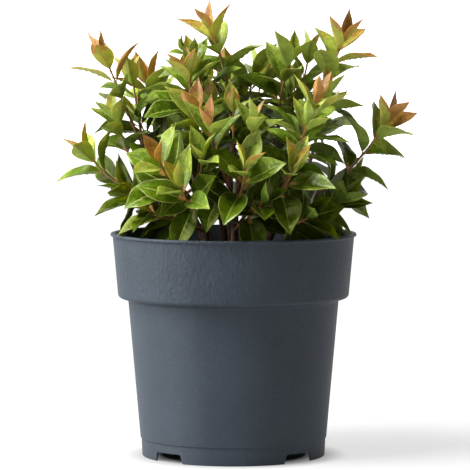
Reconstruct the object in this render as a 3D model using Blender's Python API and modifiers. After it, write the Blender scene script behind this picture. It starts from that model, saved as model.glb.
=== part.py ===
# A small evergreen shrub with opposite leaves and bronze young tips, in its nursery pot.
# Metres, +Z up. The origin is the middle of the pot's flat underside, and the front is towards -Y.
import math
import random

import bmesh
import bpy
from mathutils import Quaternion, Vector
from mathutils.bvhtree import BVHTree
from mathutils.geometry import interpolate_bezier

MM = 0.001
CLEARANCE = 0.3 * MM

# Pot: a 19 cm container with a stepped collar, a lip and a foot ring cut by four drain notches
POT_HEIGHT = 172 * MM
LIP_RADIUS = 95 * MM
LIP_HEIGHT = 2.4 * MM
LIP_ROUND = 0.7 * MM
COLLAR_TOP_RADIUS = 93.2 * MM
COLLAR_FOOT_RADIUS = 89 * MM
COLLAR_FOOT_LEVEL = 123.4 * MM
COLLAR_BEVEL = (1.5 * MM, 1.9 * MM)
BODY_TOP_RADIUS = 81.1 * MM
BODY_TOP_LEVEL = 120 * MM
BAND_RADIUS = 71.7 * MM
BAND_LEVEL = 13.9 * MM
BAND_STEP = 0.4 * MM
FOOT_RADIUS = 70.6 * MM
FOOT_ROUND = 0.5 * MM
WALL = 1.5 * MM
FLOOR_LEVEL = 7.5 * MM
CENTRE_PAD_RADIUS = 20 * MM
CENTRE_PAD_SLOPE = 4 * MM
POT_SIDES = 32
NOTCH_COUNT = 4
NOTCH_BEARING = 45
NOTCH_WIDTH = 30 * MM
NOTCH_TOP_SHARE = 0.84
NOTCH_HEIGHT = 7.2 * MM
NOTCH_DEPTH = 12 * MM
CUTTER_OVERRUN = 2 * MM
DRAIN_COUNT = 8
DRAIN_RADIUS = 4.5 * MM
DRAIN_RING = 54 * MM
DRAIN_SIDES = 10

# Potting soil
SOIL_LEVEL = 155 * MM
SOIL_EDGE_DROP = 2 * MM
SOIL_FLAT_RADIUS = 60 * MM
SOIL_GAP = 0.45 * MM

# Limbs
STEM_RADIUS = 3.0 * MM
STEM_TIP_RADIUS = 2.1 * MM
FLARE_RADIUS = 4.6 * MM
FLARE_HEIGHT = 5 * MM
BOUGH_RADIUS = 1.8 * MM
BOUGH_TIP_RADIUS = 1.55 * MM
TWIG_RADIUS = 1.45 * MM
TWIG_TIP_RADIUS = 1.0 * MM
FORK_RISE = 44 * MM
FORK_REACH_SHARE = 0.26
LIMB_STEPS = 4
PATH_STEPS = 33
TWIG_LENGTH = 96 * MM
PULL = 0.38

# Where each stem stands and where the tips of its shoots are. A place is a bearing round the pot's axis
# (0 right, 90 back, 180 left, 270 front), a distance from that axis and, for a tip, its height above
# the ground, in millimetres. The last number turns the shoot's leaf pairs about its stem, in degrees.
CROWN = {
    "left": (
        (184, 22),
        {"high": (183, 97, 303, 90), "mid": (184, 110, 231, 76), "low": (192, 80, 205, 60)},
    ),
    "front_left": (
        (218, 26),
        {"high": (216, 42, 290, 90), "mid": (236, 98, 230, 166), "low": (217, 80, 192, 35)},
    ),
    "front_inner": (
        (240, 14),
        {"high": (243, 62, 264, 90), "mid": (246, 96, 211, 169)},
    ),
    "front": (
        (272, 25),
        {"high": (258, 82, 252, 68), "mid": (275, 94, 225, 150), "low": (285, 82, 199, 162)},
    ),
    "front_right": (
        (312, 24),
        {"high": (320, 80, 271, 4), "mid": (298, 94, 224, 137), "low": (311, 84, 187, 29)},
    ),
    "right": (
        (348, 27),
        {"high": (359, 83, 317, 52), "mid": (355, 117, 256, 41), "low": (340, 84, 196, 63)},
    ),
    "back_right": (
        (35, 22),
        {"high": (3, 44, 303, 45), "mid": (45, 98, 263, 75), "low": (22, 92, 208, 80)},
    ),
    "centre": (
        (120, 6),
        {"high": (196, 17, 325, 130), "mid": (65, 38, 295, 52)},
    ),
    "back": (
        (88, 26),
        {"high": (94, 70, 286, 0), "mid": (78, 96, 236, 118), "low": (71, 94, 207, 37)},
    ),
    "back_left": (
        (140, 24),
        {"high": (151, 78, 285, 45), "mid": (121, 98, 252, 33), "low": (156, 92, 205, 113)},
    ),
}
# Where a lower bough leaves its stem, as a share of the stem's length, and how far it leans from it there;
# then how far each shoot's tip leans from upright
START_RISE = {"mid": 0.80, "low": 0.40}
START_LEAN = {"mid": 34, "low": 50}
TIP_LEAN = {"high": 24, "mid": 34, "low": 58}
BEND_ROOM = {"mid": 0.3 * MM, "low": 0.1 * MM}
LEAST_START_LEAN = 20
LEAST_BOUGH_SHARE = 0.2

# Side shoots stand in the axils of the older leaf pairs
SIDE_SHOOT_TRIES = 8
SIDE_SHOOT_REACH = 96 * MM
SIDE_SHOOT_LENGTHS = (50 * MM, 62 * MM)
SIDE_SHOOT_RADIUS = 1.23 * MM
SIDE_SHOOT_SCALE = 0.86
SIDE_SHOOT_SCATTER = 15
# How much of its host's way, of the outward way and of straight up it follows: at its foot, on its course
# and at its tip
SIDE_SHOOT_WAYS = ((0.7, 0.7, 0), (0.62, 0.55, 0.35), (0.5, 0.2, 0.6))

# Leaves: from the bud at a shoot's tip back to the oldest pair
RANKS = 8
FULL_GROWN_RANK = 5
WELL_SEEN_RANKS = (1, 2)
BUD_LEAF = 29 * MM
GROWN_LEAF = 47 * MM
BUD_DEPTH = 1.2 * MM
FIRST_STEP = 4 * MM
LAST_STEP = 21 * MM
PACES = (0.92, 1.1)
FOOT_CLEARANCE = 5 * MM
WIDTH_SHARE = 0.36
WIDTH_SHARE_GAIN = 0.09
BUD_BEND = 10
BEND_GAIN = 34
BUD_FOLD = 32
FOLD_LOSS = 15
BUD_SPREAD = 24
SPREAD_GAIN = 34
SKY_SHARE = 0.35
SIZE_SCATTER = (0.08, 0.06)
ANGLE_SCATTER = {"bend": 8, "fold": 3, "spread": 6, "swing": 9, "roll": 14}
LEAF_THICKNESS_SHARE = 0.016
ROOT_DEPTH = 0.2 * MM

# A blade's sections as shares of its length and width: where leaves show best, elsewhere, and with the
# room round it that is kept free
SEEN_BLADE = ((0.32, 1.0), (0.68, 0.84))
OTHER_BLADE = ((0.44, 1.08),)
BLADE_ROOM = ((0.34, 1.08), (0.5, 1.1), (0.7, 0.9))
MOST_OF_BLADE = (0.16, 0.6)
WHOLE_BLADE = (0.03, 0.2)
SPACE_RADIUS = 66 * MM
LEAF_CLEARANCE = 0.5 * MM
TURNS = (
    (0, 0), (10, 0), (-10, 0), (0, 14), (0, -14), (18, 10), (18, -10), (-18, 10), (-18, -10),
    (28, 0), (-28, 0), (8, 28), (8, -28), (-10, 28), (-10, -28), (38, 14), (38, -14),
)


def polar(bearing, reach, height):
    angle = math.radians(bearing)
    return Vector((reach * math.cos(angle), reach * math.sin(angle), height))


def clear_scene():
    for thing in list(bpy.data.objects):
        bpy.data.objects.remove(thing)


def plain_material(name, colour, roughness):
    material = bpy.data.materials.new(name)
    material.use_nodes = True
    shader = material.node_tree.nodes["Principled BSDF"]
    shader.inputs["Base Color"].default_value = (*colour, 1)
    shader.inputs["Roughness"].default_value = roughness
    shader.inputs["Metallic"].default_value = 0
    return material


def add_mesh(name, points, faces, material, collection, edges=()):
    mesh = bpy.data.meshes.new(name)
    mesh.from_pydata([tuple(p) for p in points], edges, faces)
    mesh.materials.append(material)
    thing = bpy.data.objects.new(name, mesh)
    collection.objects.link(thing)
    return thing


def add_turned(name, profile, material, collection):
    """A profile of (radius, height) points, from the top down the outer side, turned round the Z axis."""
    points = [(radius, 0, height) for radius, height in profile]
    edges = [(i, i + 1) for i in range(len(points) - 1)]
    thing = add_mesh(name, points, [], material, collection, edges)
    screw = thing.modifiers.new("turn", "SCREW")
    screw.axis = "Z"
    screw.angle = math.tau
    screw.steps = POT_SIDES
    screw.render_steps = POT_SIDES
    screw.use_merge_vertices = True
    screw.merge_threshold = 0.00001
    return thing


def inner_wall(level, inset=0.0):
    """The radius of the pot's inside at a level, less an inset."""
    if level >= COLLAR_FOOT_LEVEL:
        share = (level - COLLAR_FOOT_LEVEL) / (POT_HEIGHT - LIP_HEIGHT - COLLAR_FOOT_LEVEL)
        outer = COLLAR_FOOT_RADIUS + (COLLAR_TOP_RADIUS - COLLAR_FOOT_RADIUS) * share
    else:
        share = (level - BAND_LEVEL) / (BODY_TOP_LEVEL - BAND_LEVEL)
        outer = BAND_RADIUS + (BODY_TOP_RADIUS - BAND_RADIUS) * share
    return outer - WALL - inset


def build_pot(collection, cutters):
    material = plain_material("pot_plastic", (0.062, 0.077, 0.092), 0.5)
    floor_top = FLOOR_LEVEL + WALL
    profile = [
        (COLLAR_TOP_RADIUS - WALL, POT_HEIGHT),
        (LIP_RADIUS - LIP_ROUND, POT_HEIGHT),
        (LIP_RADIUS, POT_HEIGHT - LIP_ROUND),
        (LIP_RADIUS, POT_HEIGHT - LIP_HEIGHT + LIP_ROUND),
        (COLLAR_TOP_RADIUS, POT_HEIGHT - LIP_HEIGHT),
        (COLLAR_FOOT_RADIUS, COLLAR_FOOT_LEVEL),
        (COLLAR_FOOT_RADIUS - COLLAR_BEVEL[0], COLLAR_FOOT_LEVEL - COLLAR_BEVEL[1]),
        (BODY_TOP_RADIUS, BODY_TOP_LEVEL),
        (BAND_RADIUS, BAND_LEVEL),
        (BAND_RADIUS - BAND_STEP, BAND_LEVEL - BAND_STEP),
        (FOOT_RADIUS, FOOT_ROUND),
        (FOOT_RADIUS - FOOT_ROUND, 0),
        (FOOT_RADIUS - WALL, 0),
        (FOOT_RADIUS - WALL, FLOOR_LEVEL),
        (CENTRE_PAD_RADIUS + CENTRE_PAD_SLOPE, FLOOR_LEVEL),
        (CENTRE_PAD_RADIUS, 0),
        (0, 0),
        (0, WALL),
        (CENTRE_PAD_RADIUS, WALL),
        (CENTRE_PAD_RADIUS + CENTRE_PAD_SLOPE, floor_top),
        (inner_wall(floor_top), floor_top),
        (inner_wall(BODY_TOP_LEVEL), BODY_TOP_LEVEL + WALL),
        (inner_wall(COLLAR_FOOT_LEVEL), COLLAR_FOOT_LEVEL),
        (COLLAR_TOP_RADIUS - WALL, POT_HEIGHT),
    ]
    pot = add_turned("pot", profile, material, collection)
    for index in range(NOTCH_COUNT):
        cutter = add_notch_cutter(index, material, cutters)
        cut(pot, cutter)
    for index in range(DRAIN_COUNT):
        cutter = add_drain_cutter(index, material, cutters)
        cut(pot, cutter)


def add_notch_cutter(index, material, cutters):
    """A block with its top drawn in, standing through the foot ring."""
    shape = bmesh.new()
    bmesh.ops.create_cube(shape, size=1)
    for corner in shape.verts:
        share = NOTCH_TOP_SHARE if corner.co.z > 0 else 1
        height = NOTCH_HEIGHT if corner.co.z > 0 else -CUTTER_OVERRUN
        corner.co = (corner.co.x * NOTCH_DEPTH, corner.co.y * NOTCH_WIDTH * share, height)
    mesh = bpy.data.meshes.new(f"notch_cutter_{index}")
    shape.to_mesh(mesh)
    shape.free()
    mesh.materials.append(material)
    cutter = bpy.data.objects.new(mesh.name, mesh)
    bearing = NOTCH_BEARING + index * 360 / NOTCH_COUNT
    cutter.location = polar(bearing, FOOT_RADIUS, 0)
    cutter.rotation_euler.z = math.radians(bearing)
    cutters.objects.link(cutter)
    return cutter


def add_drain_cutter(index, material, cutters):
    shape = bmesh.new()
    bmesh.ops.create_cone(
        shape,
        cap_ends=True,
        segments=DRAIN_SIDES,
        radius1=DRAIN_RADIUS,
        radius2=DRAIN_RADIUS,
        depth=WALL + 2 * CUTTER_OVERRUN,
    )
    mesh = bpy.data.meshes.new(f"drain_cutter_{index}")
    shape.to_mesh(mesh)
    shape.free()
    mesh.materials.append(material)
    cutter = bpy.data.objects.new(mesh.name, mesh)
    bearing = 360 * (index + 0.5) / DRAIN_COUNT
    cutter.location = polar(bearing, DRAIN_RING, FLOOR_LEVEL + WALL / 2)
    cutters.objects.link(cutter)
    return cutter


def cut(thing, cutter):
    cutter.hide_render = True
    cutter.display_type = "WIRE"
    trim = thing.modifiers.new(cutter.name, "BOOLEAN")
    trim.operation = "DIFFERENCE"
    trim.object = cutter


def build_soil(collection):
    """The soil fills the pot and stays clear of its wall all round."""
    material = plain_material("potting_soil", (0.035, 0.022, 0.014), 0.95)
    edge_level = SOIL_LEVEL - SOIL_EDGE_DROP
    floor_top = FLOOR_LEVEL + WALL + SOIL_GAP
    pad_top = WALL + SOIL_GAP
    profile = [
        (0, SOIL_LEVEL),
        (SOIL_FLAT_RADIUS, SOIL_LEVEL),
        (inner_wall(edge_level, SOIL_GAP), edge_level),
        (inner_wall(COLLAR_FOOT_LEVEL, SOIL_GAP), COLLAR_FOOT_LEVEL + 2 * SOIL_GAP),
        (inner_wall(BODY_TOP_LEVEL, SOIL_GAP), BODY_TOP_LEVEL + WALL + SOIL_GAP),
        (inner_wall(floor_top, SOIL_GAP), floor_top),
        (CENTRE_PAD_RADIUS + CENTRE_PAD_SLOPE - SOIL_GAP, floor_top),
        (CENTRE_PAD_RADIUS - SOIL_GAP, pad_top),
        (0, pad_top),
    ]
    add_turned("soil", profile, material, collection)


class Path:
    """A limb's centre line, read by the distance from its start."""

    def __init__(self, start, start_way, end, end_way):
        span = (end - start).length
        before = start + start_way * span * PULL
        after = end - end_way * span * PULL
        self.points = interpolate_bezier(start, before, after, end, PATH_STEPS)
        self.travelled = [0.0]
        for here, there in zip(self.points, self.points[1:]):
            self.travelled.append(self.travelled[-1] + (there - here).length)
        self.length = self.travelled[-1]

    def at(self, distance):
        distance = min(max(distance, 0.0), self.length)
        index = 1
        while self.travelled[index] < distance and index < PATH_STEPS - 1:
            index += 1
        here, there = self.points[index - 1], self.points[index]
        share = (distance - self.travelled[index - 1]) / (self.travelled[index] - self.travelled[index - 1])
        return here.lerp(there, share)

    def way(self, distance):
        reach = 2 * MM
        return (self.at(distance + reach) - self.at(distance - reach)).normalized()

    def away(self, point):
        """How far a point lies from the line."""
        return min((point - here).length for here in self.points)


def loft(sections, ends=None):
    """A closed skin over equal rings of points, its ends flat or drawn in to two end points."""
    sides = len(sections[0])
    points = [point for section in sections for point in section]
    faces = []
    for ring in range(len(sections) - 1):
        for side in range(sides):
            a = ring * sides + side
            b = ring * sides + (side + 1) % sides
            faces.append((a, b, b + sides))
            faces.append((a, b + sides, a + sides))
    last = len(points) - sides
    if ends is None:
        faces += [(0, side + 1, side) for side in range(1, sides - 1)]
        faces += [(last, last + side, last + side + 1) for side in range(1, sides - 1)]
        return points, faces
    start, finish = len(points), len(points) + 1
    for side in range(sides):
        faces.append(((side + 1) % sides, side, start))
        faces.append((last + side, last + (side + 1) % sides, finish))
    return points + list(ends), faces


def across(way):
    """Two directions square to way: a level one and one that rises with it."""
    level = Vector((0, 0, 1)).cross(way)
    level = level.normalized() if level.length > 1e-4 else Vector((1, 0, 0))
    return level, way.cross(level).normalized()


def tube(path, stations, start_radius, end_radius, sides):
    """A tapering tube through some stations of a path, as points and faces."""
    sections = []
    for distance in stations:
        share = (distance - stations[0]) / (stations[-1] - stations[0])
        radius = start_radius + (end_radius - start_radius) * share
        way = path.way(distance)
        level, rise = across(way)
        centre = path.at(distance)
        ring = []
        for side in range(sides):
            angle = math.tau * side / sides
            ring.append(centre + (level * math.cos(angle) + rise * math.sin(angle)) * radius)
        sections.append(ring)
    return loft(sections)


def clear_start(host, rise, way, host_radius, own_radius):
    """Where a limb that leaves the side of its host starts, just clear of the host's bark."""
    lean = max(way.angle(host.way(rise)), math.radians(LEAST_START_LEAN))
    distance = (host_radius + CLEARANCE) / math.sin(lean) + own_radius / math.tan(lean)
    return host.at(rise) + way * distance


class Leaf:
    """One blade: where it leaves its twig, which way it points and faces, and how it is shaped."""

    def __init__(self, shoot, rank, side):
        dice = random.Random(f"{shoot.name} {shoot.turn} {rank} {side}")
        grown = min(1, rank / FULL_GROWN_RANK)
        self.rank = rank
        size = [dice.uniform(1 - scatter, 1 + scatter) for scatter in SIZE_SCATTER]
        angle = {name: dice.uniform(-scatter, scatter) for name, scatter in ANGLE_SCATTER.items()}
        self.length = (BUD_LEAF + (GROWN_LEAF - BUD_LEAF) * grown**0.6) * shoot.scale * size[0]
        self.width = self.length * (WIDTH_SHARE + WIDTH_SHARE_GAIN * min(1, grown * 1.6)) * size[1]
        self.bend = math.radians(BUD_BEND + BEND_GAIN * grown + angle["bend"])
        self.fold = math.radians(BUD_FOLD - FOLD_LOSS * grown + angle["fold"])
        self.spread = BUD_SPREAD + SPREAD_GAIN * grown**0.5 + angle["spread"]
        self.swing = angle["swing"]
        self.roll = angle["roll"]
        self.shoot = shoot
        self.distance = shoot.path.length - shoot.rank_distance(rank)
        self.turn = shoot.turn + 90 * rank + 180 * side

    def aim(self, more_spread, more_swing):
        """Sets the blade's frame, its divergence and its turn about the twig changed by some degrees."""
        way = self.shoot.path.way(self.distance)
        level, rise = across(way)
        turn = math.radians(self.turn + self.swing + more_swing)
        out = level * math.cos(turn) + rise * math.sin(turn)
        spread = math.radians(self.spread + more_spread)
        self.way = way * math.cos(spread) + out * math.sin(spread)
        facing = way * math.sin(spread) - out * math.cos(spread)
        up = Vector((0, 0, 1))
        facing += SKY_SHARE * (up - self.way * up.dot(self.way))
        facing.rotate(Quaternion(self.way, math.radians(self.roll)))
        self.facing = facing.normalized()
        self.across = self.facing.cross(self.way)
        self.foot = self.shoot.axis(self.distance)

    def line(self, share):
        """The midrib at a share of the blade's length, and the blade's facing there."""
        angle = self.bend * share
        along = math.sin(angle) / self.bend
        drop = (1 - math.cos(angle)) / self.bend
        point = self.foot + (self.way * along - self.facing * drop) * self.length
        return point, self.facing * math.cos(angle) + self.way * math.sin(angle)

    def section(self, share, width_share, thickness):
        """Left edge, underside, right edge and top of the blade at a share of its length."""
        centre, facing = self.line(share)
        half = self.width * width_share / 2
        side = self.across * half * math.cos(self.fold)
        lift = facing * half * math.sin(self.fold)
        return [
            centre - side + lift,
            centre - facing * thickness / 2,
            centre + side + lift,
            centre + facing * thickness / 2,
        ]

    def solid(self, shape):
        """The blade as points and faces: its root, a section at each (share, width share) and its tip."""
        thickness = self.length * LEAF_THICKNESS_SHARE
        sections = [self.section(share, width, thickness) for share, width in shape]
        root = self.foot - self.way * ROOT_DEPTH
        return loft(sections, (root, self.line(1)[0]))

    def room(self, start, start_width):
        """A slightly thicker and wider blade from a share of its length on, for keeping clear of things."""
        thickness = self.length * LEAF_THICKNESS_SHARE + 2 * LEAF_CLEARANCE
        shape = ((start, start_width), *BLADE_ROOM)
        sections = [self.section(share, width, thickness) for share, width in shape]
        return loft(sections, (self.line(start / 2)[0], self.line(1.02)[0]))


class Shoot:
    """A leafy twig: its centre line from its foot to its bud, and its leaf pairs."""

    def __init__(self, name, path, foot, radius, turn, scale, mass):
        self.name = name
        self.path = path
        self.foot = foot
        self.radius = radius
        self.turn = turn
        self.scale = scale
        self.mass = mass
        self.pace = random.Random(name).uniform(*PACES)

    def rank_distance(self, rank):
        """How far back from the bud a leaf pair stands."""
        distance = BUD_DEPTH
        for step in range(rank):
            grown = min(1, (step + 0.4) / (FULL_GROWN_RANK - 1))
            distance += (FIRST_STEP + (LAST_STEP - FIRST_STEP) * grown) * self.pace
        return distance * self.scale

    def ranks(self):
        first_clear = self.foot + FOOT_CLEARANCE
        return [r for r in range(RANKS) if self.path.length - self.rank_distance(r) > first_clear]

    def joints(self):
        """Where the twig bends: halfway between its leaf pairs, and at its two ends."""
        length = self.path.length
        halfway = [(self.rank_distance(rank) + self.rank_distance(rank - 1)) / 2 for rank in self.ranks()[2:]]
        return [self.foot] + [length - distance for distance in reversed(halfway)] + [length]

    def axis(self, distance):
        """The middle of the twig, which is straight between its joints."""
        joints = self.joints()
        after = next((i for i in range(1, len(joints)) if joints[i] >= distance), len(joints) - 1)
        share = (distance - joints[after - 1]) / (joints[after] - joints[after - 1])
        return self.path.at(joints[after - 1]).lerp(self.path.at(joints[after]), share)

    def room(self):
        """A slightly thicker twig."""
        more = 2 * CLEARANCE
        return tube(self.path, self.joints(), self.radius + more, TWIG_TIP_RADIUS + more, 6)

    def twig(self):
        return tube(self.path, self.joints(), self.radius, TWIG_TIP_RADIUS, 3)


class Crowd:
    """What is already placed, with the mass it belongs to, so that a new blade can keep clear of it."""

    def __init__(self):
        self.things = []

    def add(self, skin, mass=None):
        centre, radius = ball(skin[0])
        self.things.append((centre, radius, BVHTree.FromPolygons(*skin), mass))

    def touched_by(self, skin, own_mass=None):
        """True if the skin meets anything that isn't of its own mass."""
        centre, radius = ball(skin[0])
        tree = BVHTree.FromPolygons(*skin)
        for other_centre, other_radius, other, mass in self.things:
            if own_mass is not None and mass == own_mass:
                continue
            if (centre - other_centre).length < radius + other_radius and tree.overlap(other):
                return True
        return False


def ball(points):
    """A ball round some points."""
    centre = sum(points, Vector()) / len(points)
    return centre, max((point - centre).length for point in points)


def in_pot(point):
    """True for a point in the soil, in the pot's wall or under its lip, with a little room round them."""
    reach = math.hypot(point.x, point.y)
    room = 1.5 * MM
    if point.z > POT_HEIGHT + room:
        return False
    if reach < inner_wall(POT_HEIGHT, room):
        return point.z < SOIL_LEVEL + room
    return reach < LIP_RADIUS + room


def plan_limbs():
    """The stems, boughs and leafy twigs, as named stretches of paths."""
    stems, boughs, shoots = [], [], []
    for name, (foot, tips) in CROWN.items():
        ground = polar(foot[0], foot[1] * MM, SOIL_LEVEL + CLEARANCE)
        ends = {part: polar(b, reach * MM, height * MM) for part, (b, reach, height, _) in tips.items()}
        leading = [end for part, end in ends.items() if part != "low"]
        aim = sum(leading, Vector()) / len(leading)
        fork = ground.lerp(aim, FORK_REACH_SHARE)
        fork.z = SOIL_LEVEL + FORK_RISE
        lean = (aim - fork).normalized()
        stem = Path(ground, Vector((0, 0, 1)), fork, lean)
        stems.append((name, stem))
        for part, end in ends.items():
            outward = Vector((end.x, end.y, 0)).normalized()
            tip_lean = math.radians(TIP_LEAN[part])
            end_way = outward * math.sin(tip_lean) + Vector((0, 0, 1)) * math.cos(tip_lean)
            if part == "high":
                start = fork + lean * CLEARANCE
                start_way = lean
            else:
                rise = stem.length * START_RISE[part]
                way = stem.way(rise)
                towards = end - stem.at(rise)
                aside = (towards - way * towards.dot(way)).normalized()
                start_lean = math.radians(START_LEAN[part])
                start_way = aside * math.sin(start_lean) + way * math.cos(start_lean)
                stem_radius = STEM_RADIUS + (STEM_TIP_RADIUS - STEM_RADIUS) * START_RISE[part] + BEND_ROOM[part]
                own_radius = BOUGH_RADIUS if part == "mid" else TWIG_RADIUS
                start = clear_start(stem, rise, start_way, stem_radius, own_radius)
            path = Path(start, start_way, end, end_way)
            foot_distance = 0.0
            if part != "low":
                bough_end = max(path.length - TWIG_LENGTH, path.length * LEAST_BOUGH_SHARE)
                boughs.append((f"{name}_{part}", path, bough_end))
                foot_distance = bough_end + CLEARANCE
            mass = f"{name}_{part}"
            shoots.append(Shoot(mass, path, foot_distance, TWIG_RADIUS, tips[part][3], 1.0, mass))
    return stems, boughs, shoots


def side_shoot(main, number):
    """A shorter shoot from the axil of one of the main shoot's older pairs."""
    dice = random.Random(f"side {main.name} {number}")
    ranks = main.ranks()
    rank = ranks[-1 - number % 2]
    distance = main.path.length - main.rank_distance(rank)
    way = main.path.way(distance)
    level, rise = across(way)
    turn = main.turn + 90 * rank + 180 * dice.randrange(2)
    turn = math.radians(turn + dice.uniform(-SIDE_SHOOT_SCATTER, SIDE_SHOOT_SCATTER))
    out = level * math.cos(turn) + rise * math.sin(turn)
    foot_way, course, tip_way = [
        (way * along + out * outward + Vector((0, 0, up))).normalized()
        for along, outward, up in SIDE_SHOOT_WAYS
    ]
    start = main.axis(distance)
    end = start + course * dice.uniform(*SIDE_SHOOT_LENGTHS)
    path = Path(start, foot_way, end, tip_way)
    name = f"{main.name}_side_{number}"
    return Shoot(name, path, 0.0, SIDE_SHOOT_RADIUS, main.turn + 45, SIDE_SHOOT_SCALE, main.mass)


def place_limbs(stems, boughs, shoots):
    """Fills a crowd with the limbs and adds each side shoot whose twig keeps clear of them."""
    crowd = Crowd()
    for _, stem in stems:
        crowd.add(tube(stem, stations(stem.length), STEM_RADIUS + CLEARANCE, STEM_TIP_RADIUS + CLEARANCE, 6))
    for _, path, end in boughs:
        crowd.add(tube(path, stations(end), BOUGH_RADIUS + CLEARANCE, BOUGH_TIP_RADIUS + CLEARANCE, 6))
    for shoot in shoots:
        crowd.add(shoot.room(), shoot.mass)
    for main in list(shoots):
        if main.name.endswith("low"):
            continue
        for number in range(SIDE_SHOOT_TRIES):
            side = side_shoot(main, number)
            if fits(side, crowd):
                crowd.add(side.room(), side.mass)
                shoots.append(side)
                break
    return crowd


def fits(side, crowd):
    """Whether a side shoot stays in the crown, above the pot and clear of the limbs and the other twigs."""
    tip = side.path.points[-1]
    if math.hypot(tip.x, tip.y) > SIDE_SHOOT_REACH:
        return False
    beyond = tube(side.path, [6 * TWIG_RADIUS, side.path.length], TWIG_RADIUS, TWIG_RADIUS, 4)
    if crowd.touched_by(beyond) or crowd.touched_by(side.room(), side.mass):
        return False
    return not any(in_pot(point) for point in beyond[0])


def grow_leaves(shoots, crowd):
    """Places the leaves, the youngest of every shoot first. A blade that can't keep clear is skipped."""
    main_paths = {shoot.mass: shoot.path for shoot in reversed(shoots)}
    leaves = []
    for rank in range(RANKS):
        for shoot in shoots:
            if rank not in shoot.ranks():
                continue
            for side in (0, 1):
                leaf = Leaf(shoot, rank, side)
                if place(leaf, main_paths[shoot.mass], crowd):
                    leaves.append(leaf)
    return leaves


def place(leaf, main_path, crowd):
    """Tries the blade at a few turns. It keeps clear of the other masses, and most of it of its own."""
    mass = leaf.shoot.mass
    for more_spread, more_swing in TURNS:
        leaf.aim(more_spread, more_swing)
        most = leaf.room(*MOST_OF_BLADE)
        whole = leaf.room(*WHOLE_BLADE)
        if main_path.away(most[0][-1]) > SPACE_RADIUS:
            continue
        if any(in_pot(point) for point in most[0]):
            continue
        if crowd.touched_by(most) or crowd.touched_by(whole, mass):
            continue
        crowd.add(whole, mass)
        return True
    return False


def blade_shape(rank):
    """The sections of a blade's solid: two where the leaves show best, elsewhere a wider one."""
    return SEEN_BLADE if rank in WELL_SEEN_RANKS else OTHER_BLADE


def stations(end):
    return [end * step / LIMB_STEPS for step in range(LIMB_STEPS + 1)]


def add_limb(name, path, end, radii, material, collection):
    """A tapering tube as a curve with a bevel. radii are at the start and the end."""
    curve = bpy.data.curves.new(name, "CURVE")
    curve.dimensions = "3D"
    curve.bevel_depth = 1.0
    curve.bevel_resolution = 1
    curve.use_fill_caps = True
    spline = curve.splines.new("POLY")
    spline.points.add(LIMB_STEPS)
    for point, distance in zip(spline.points, stations(end)):
        point.co = (*path.at(distance), 1)
        point.radius = radii[0] + (radii[1] - radii[0]) * distance / end
    curve.materials.append(material)
    limb = bpy.data.objects.new(name, curve)
    collection.objects.link(limb)
    return limb


def fuse(name, skins, material, collection):
    """Joins the first skin and the rest into one solid with a Boolean union on a collection."""
    loose = bpy.data.collections.new(f"{name}_loose")
    bpy.context.scene.collection.children.link(loose)
    whole = add_mesh(name, *skins[0], material, collection)
    for number, skin in enumerate(skins[1:]):
        add_mesh(f"{name}_loose_{number}", *skin, material, loose)
    union = whole.modifiers.new("join", "BOOLEAN")
    union.operation = "UNION"
    union.operand_type = "COLLECTION"
    union.collection = loose
    union.solver = "MANIFOLD"
    graph = bpy.context.evaluated_depsgraph_get()
    joined = bpy.data.meshes.new_from_object(whole.evaluated_get(graph))
    keep_outer_skin(joined)
    whole.modifiers.clear()
    whole.data = joined
    for thing in list(loose.objects):
        bpy.data.objects.remove(thing)
    bpy.data.collections.remove(loose)
    return whole


def keep_outer_skin(mesh):
    """Keeps the skin with the most faces, so that a sealed hollow is filled and loose scrap is dropped."""
    shape = bmesh.new()
    shape.from_mesh(mesh)
    unseen = set(shape.faces)
    skins = []
    while unseen:
        skin = [unseen.pop()]
        for face in skin:
            near = {other for edge in face.edges for other in edge.link_faces} & unseen
            unseen -= near
            skin.extend(near)
        skins.append(skin)
    skins.sort(key=len)
    for skin in skins[:-1]:
        bmesh.ops.delete(shape, geom=skin, context="FACES")
    loose = [corner for corner in shape.verts if not corner.link_faces]
    bmesh.ops.delete(shape, geom=loose, context="VERTS")
    bmesh.ops.triangulate(shape, faces=shape.faces)
    shape.to_mesh(mesh)
    shape.free()


def build_plant(collection):
    bark = plain_material("bark", (0.16, 0.085, 0.045), 0.75)
    foliage = plain_material("foliage", (0.09, 0.17, 0.035), 0.4)
    stems, boughs, shoots = plan_limbs()
    crowd = place_limbs(stems, boughs, shoots)
    leaves = grow_leaves(shoots, crowd)
    for name, path in stems:
        stem = add_limb(f"stem_{name}", path, path.length, (STEM_RADIUS, STEM_TIP_RADIUS), bark, collection)
        add_flare(stem)
    for name, path, end in boughs:
        add_limb(f"bough_{name}", path, end, (BOUGH_RADIUS, BOUGH_TIP_RADIUS), bark, collection)
    for mass in dict.fromkeys(shoot.mass for shoot in shoots):
        members = [shoot for shoot in shoots if shoot.mass == mass]
        blades = [leaf for leaf in leaves if leaf.shoot in members]
        skins = [shoot.twig() for shoot in members]
        skins += [leaf.solid(blade_shape(leaf.rank)) for leaf in blades]
        fuse(f"foliage_{mass}", skins, foliage, collection)
    print(len(shoots), "shoots and", len(leaves), "leaves")


def add_flare(stem):
    """The root flare: a short upright foot, widest at the soil."""
    spline = stem.data.splines[0]
    foot = Vector(spline.points[0].co[:3])
    spline.points[0].radius = FLARE_RADIUS
    spline.points[1].co = (foot.x, foot.y, foot.z + FLARE_HEIGHT, 1)
    spline.points[1].radius = STEM_RADIUS


def main():
    clear_scene()
    plant = bpy.data.collections.new("potted_shrub")
    cutters = bpy.data.collections.new("cutters")
    bpy.context.scene.collection.children.link(plant)
    bpy.context.scene.collection.children.link(cutters)
    build_pot(plant, cutters)
    build_soil(plant)
    build_plant(plant)


main()
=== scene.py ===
import math
import random

import bpy
import numpy as np
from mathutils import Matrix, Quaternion, Vector, noise
from mathutils.bvhtree import BVHTree
from mathutils.geometry import interpolate_bezier


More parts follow.
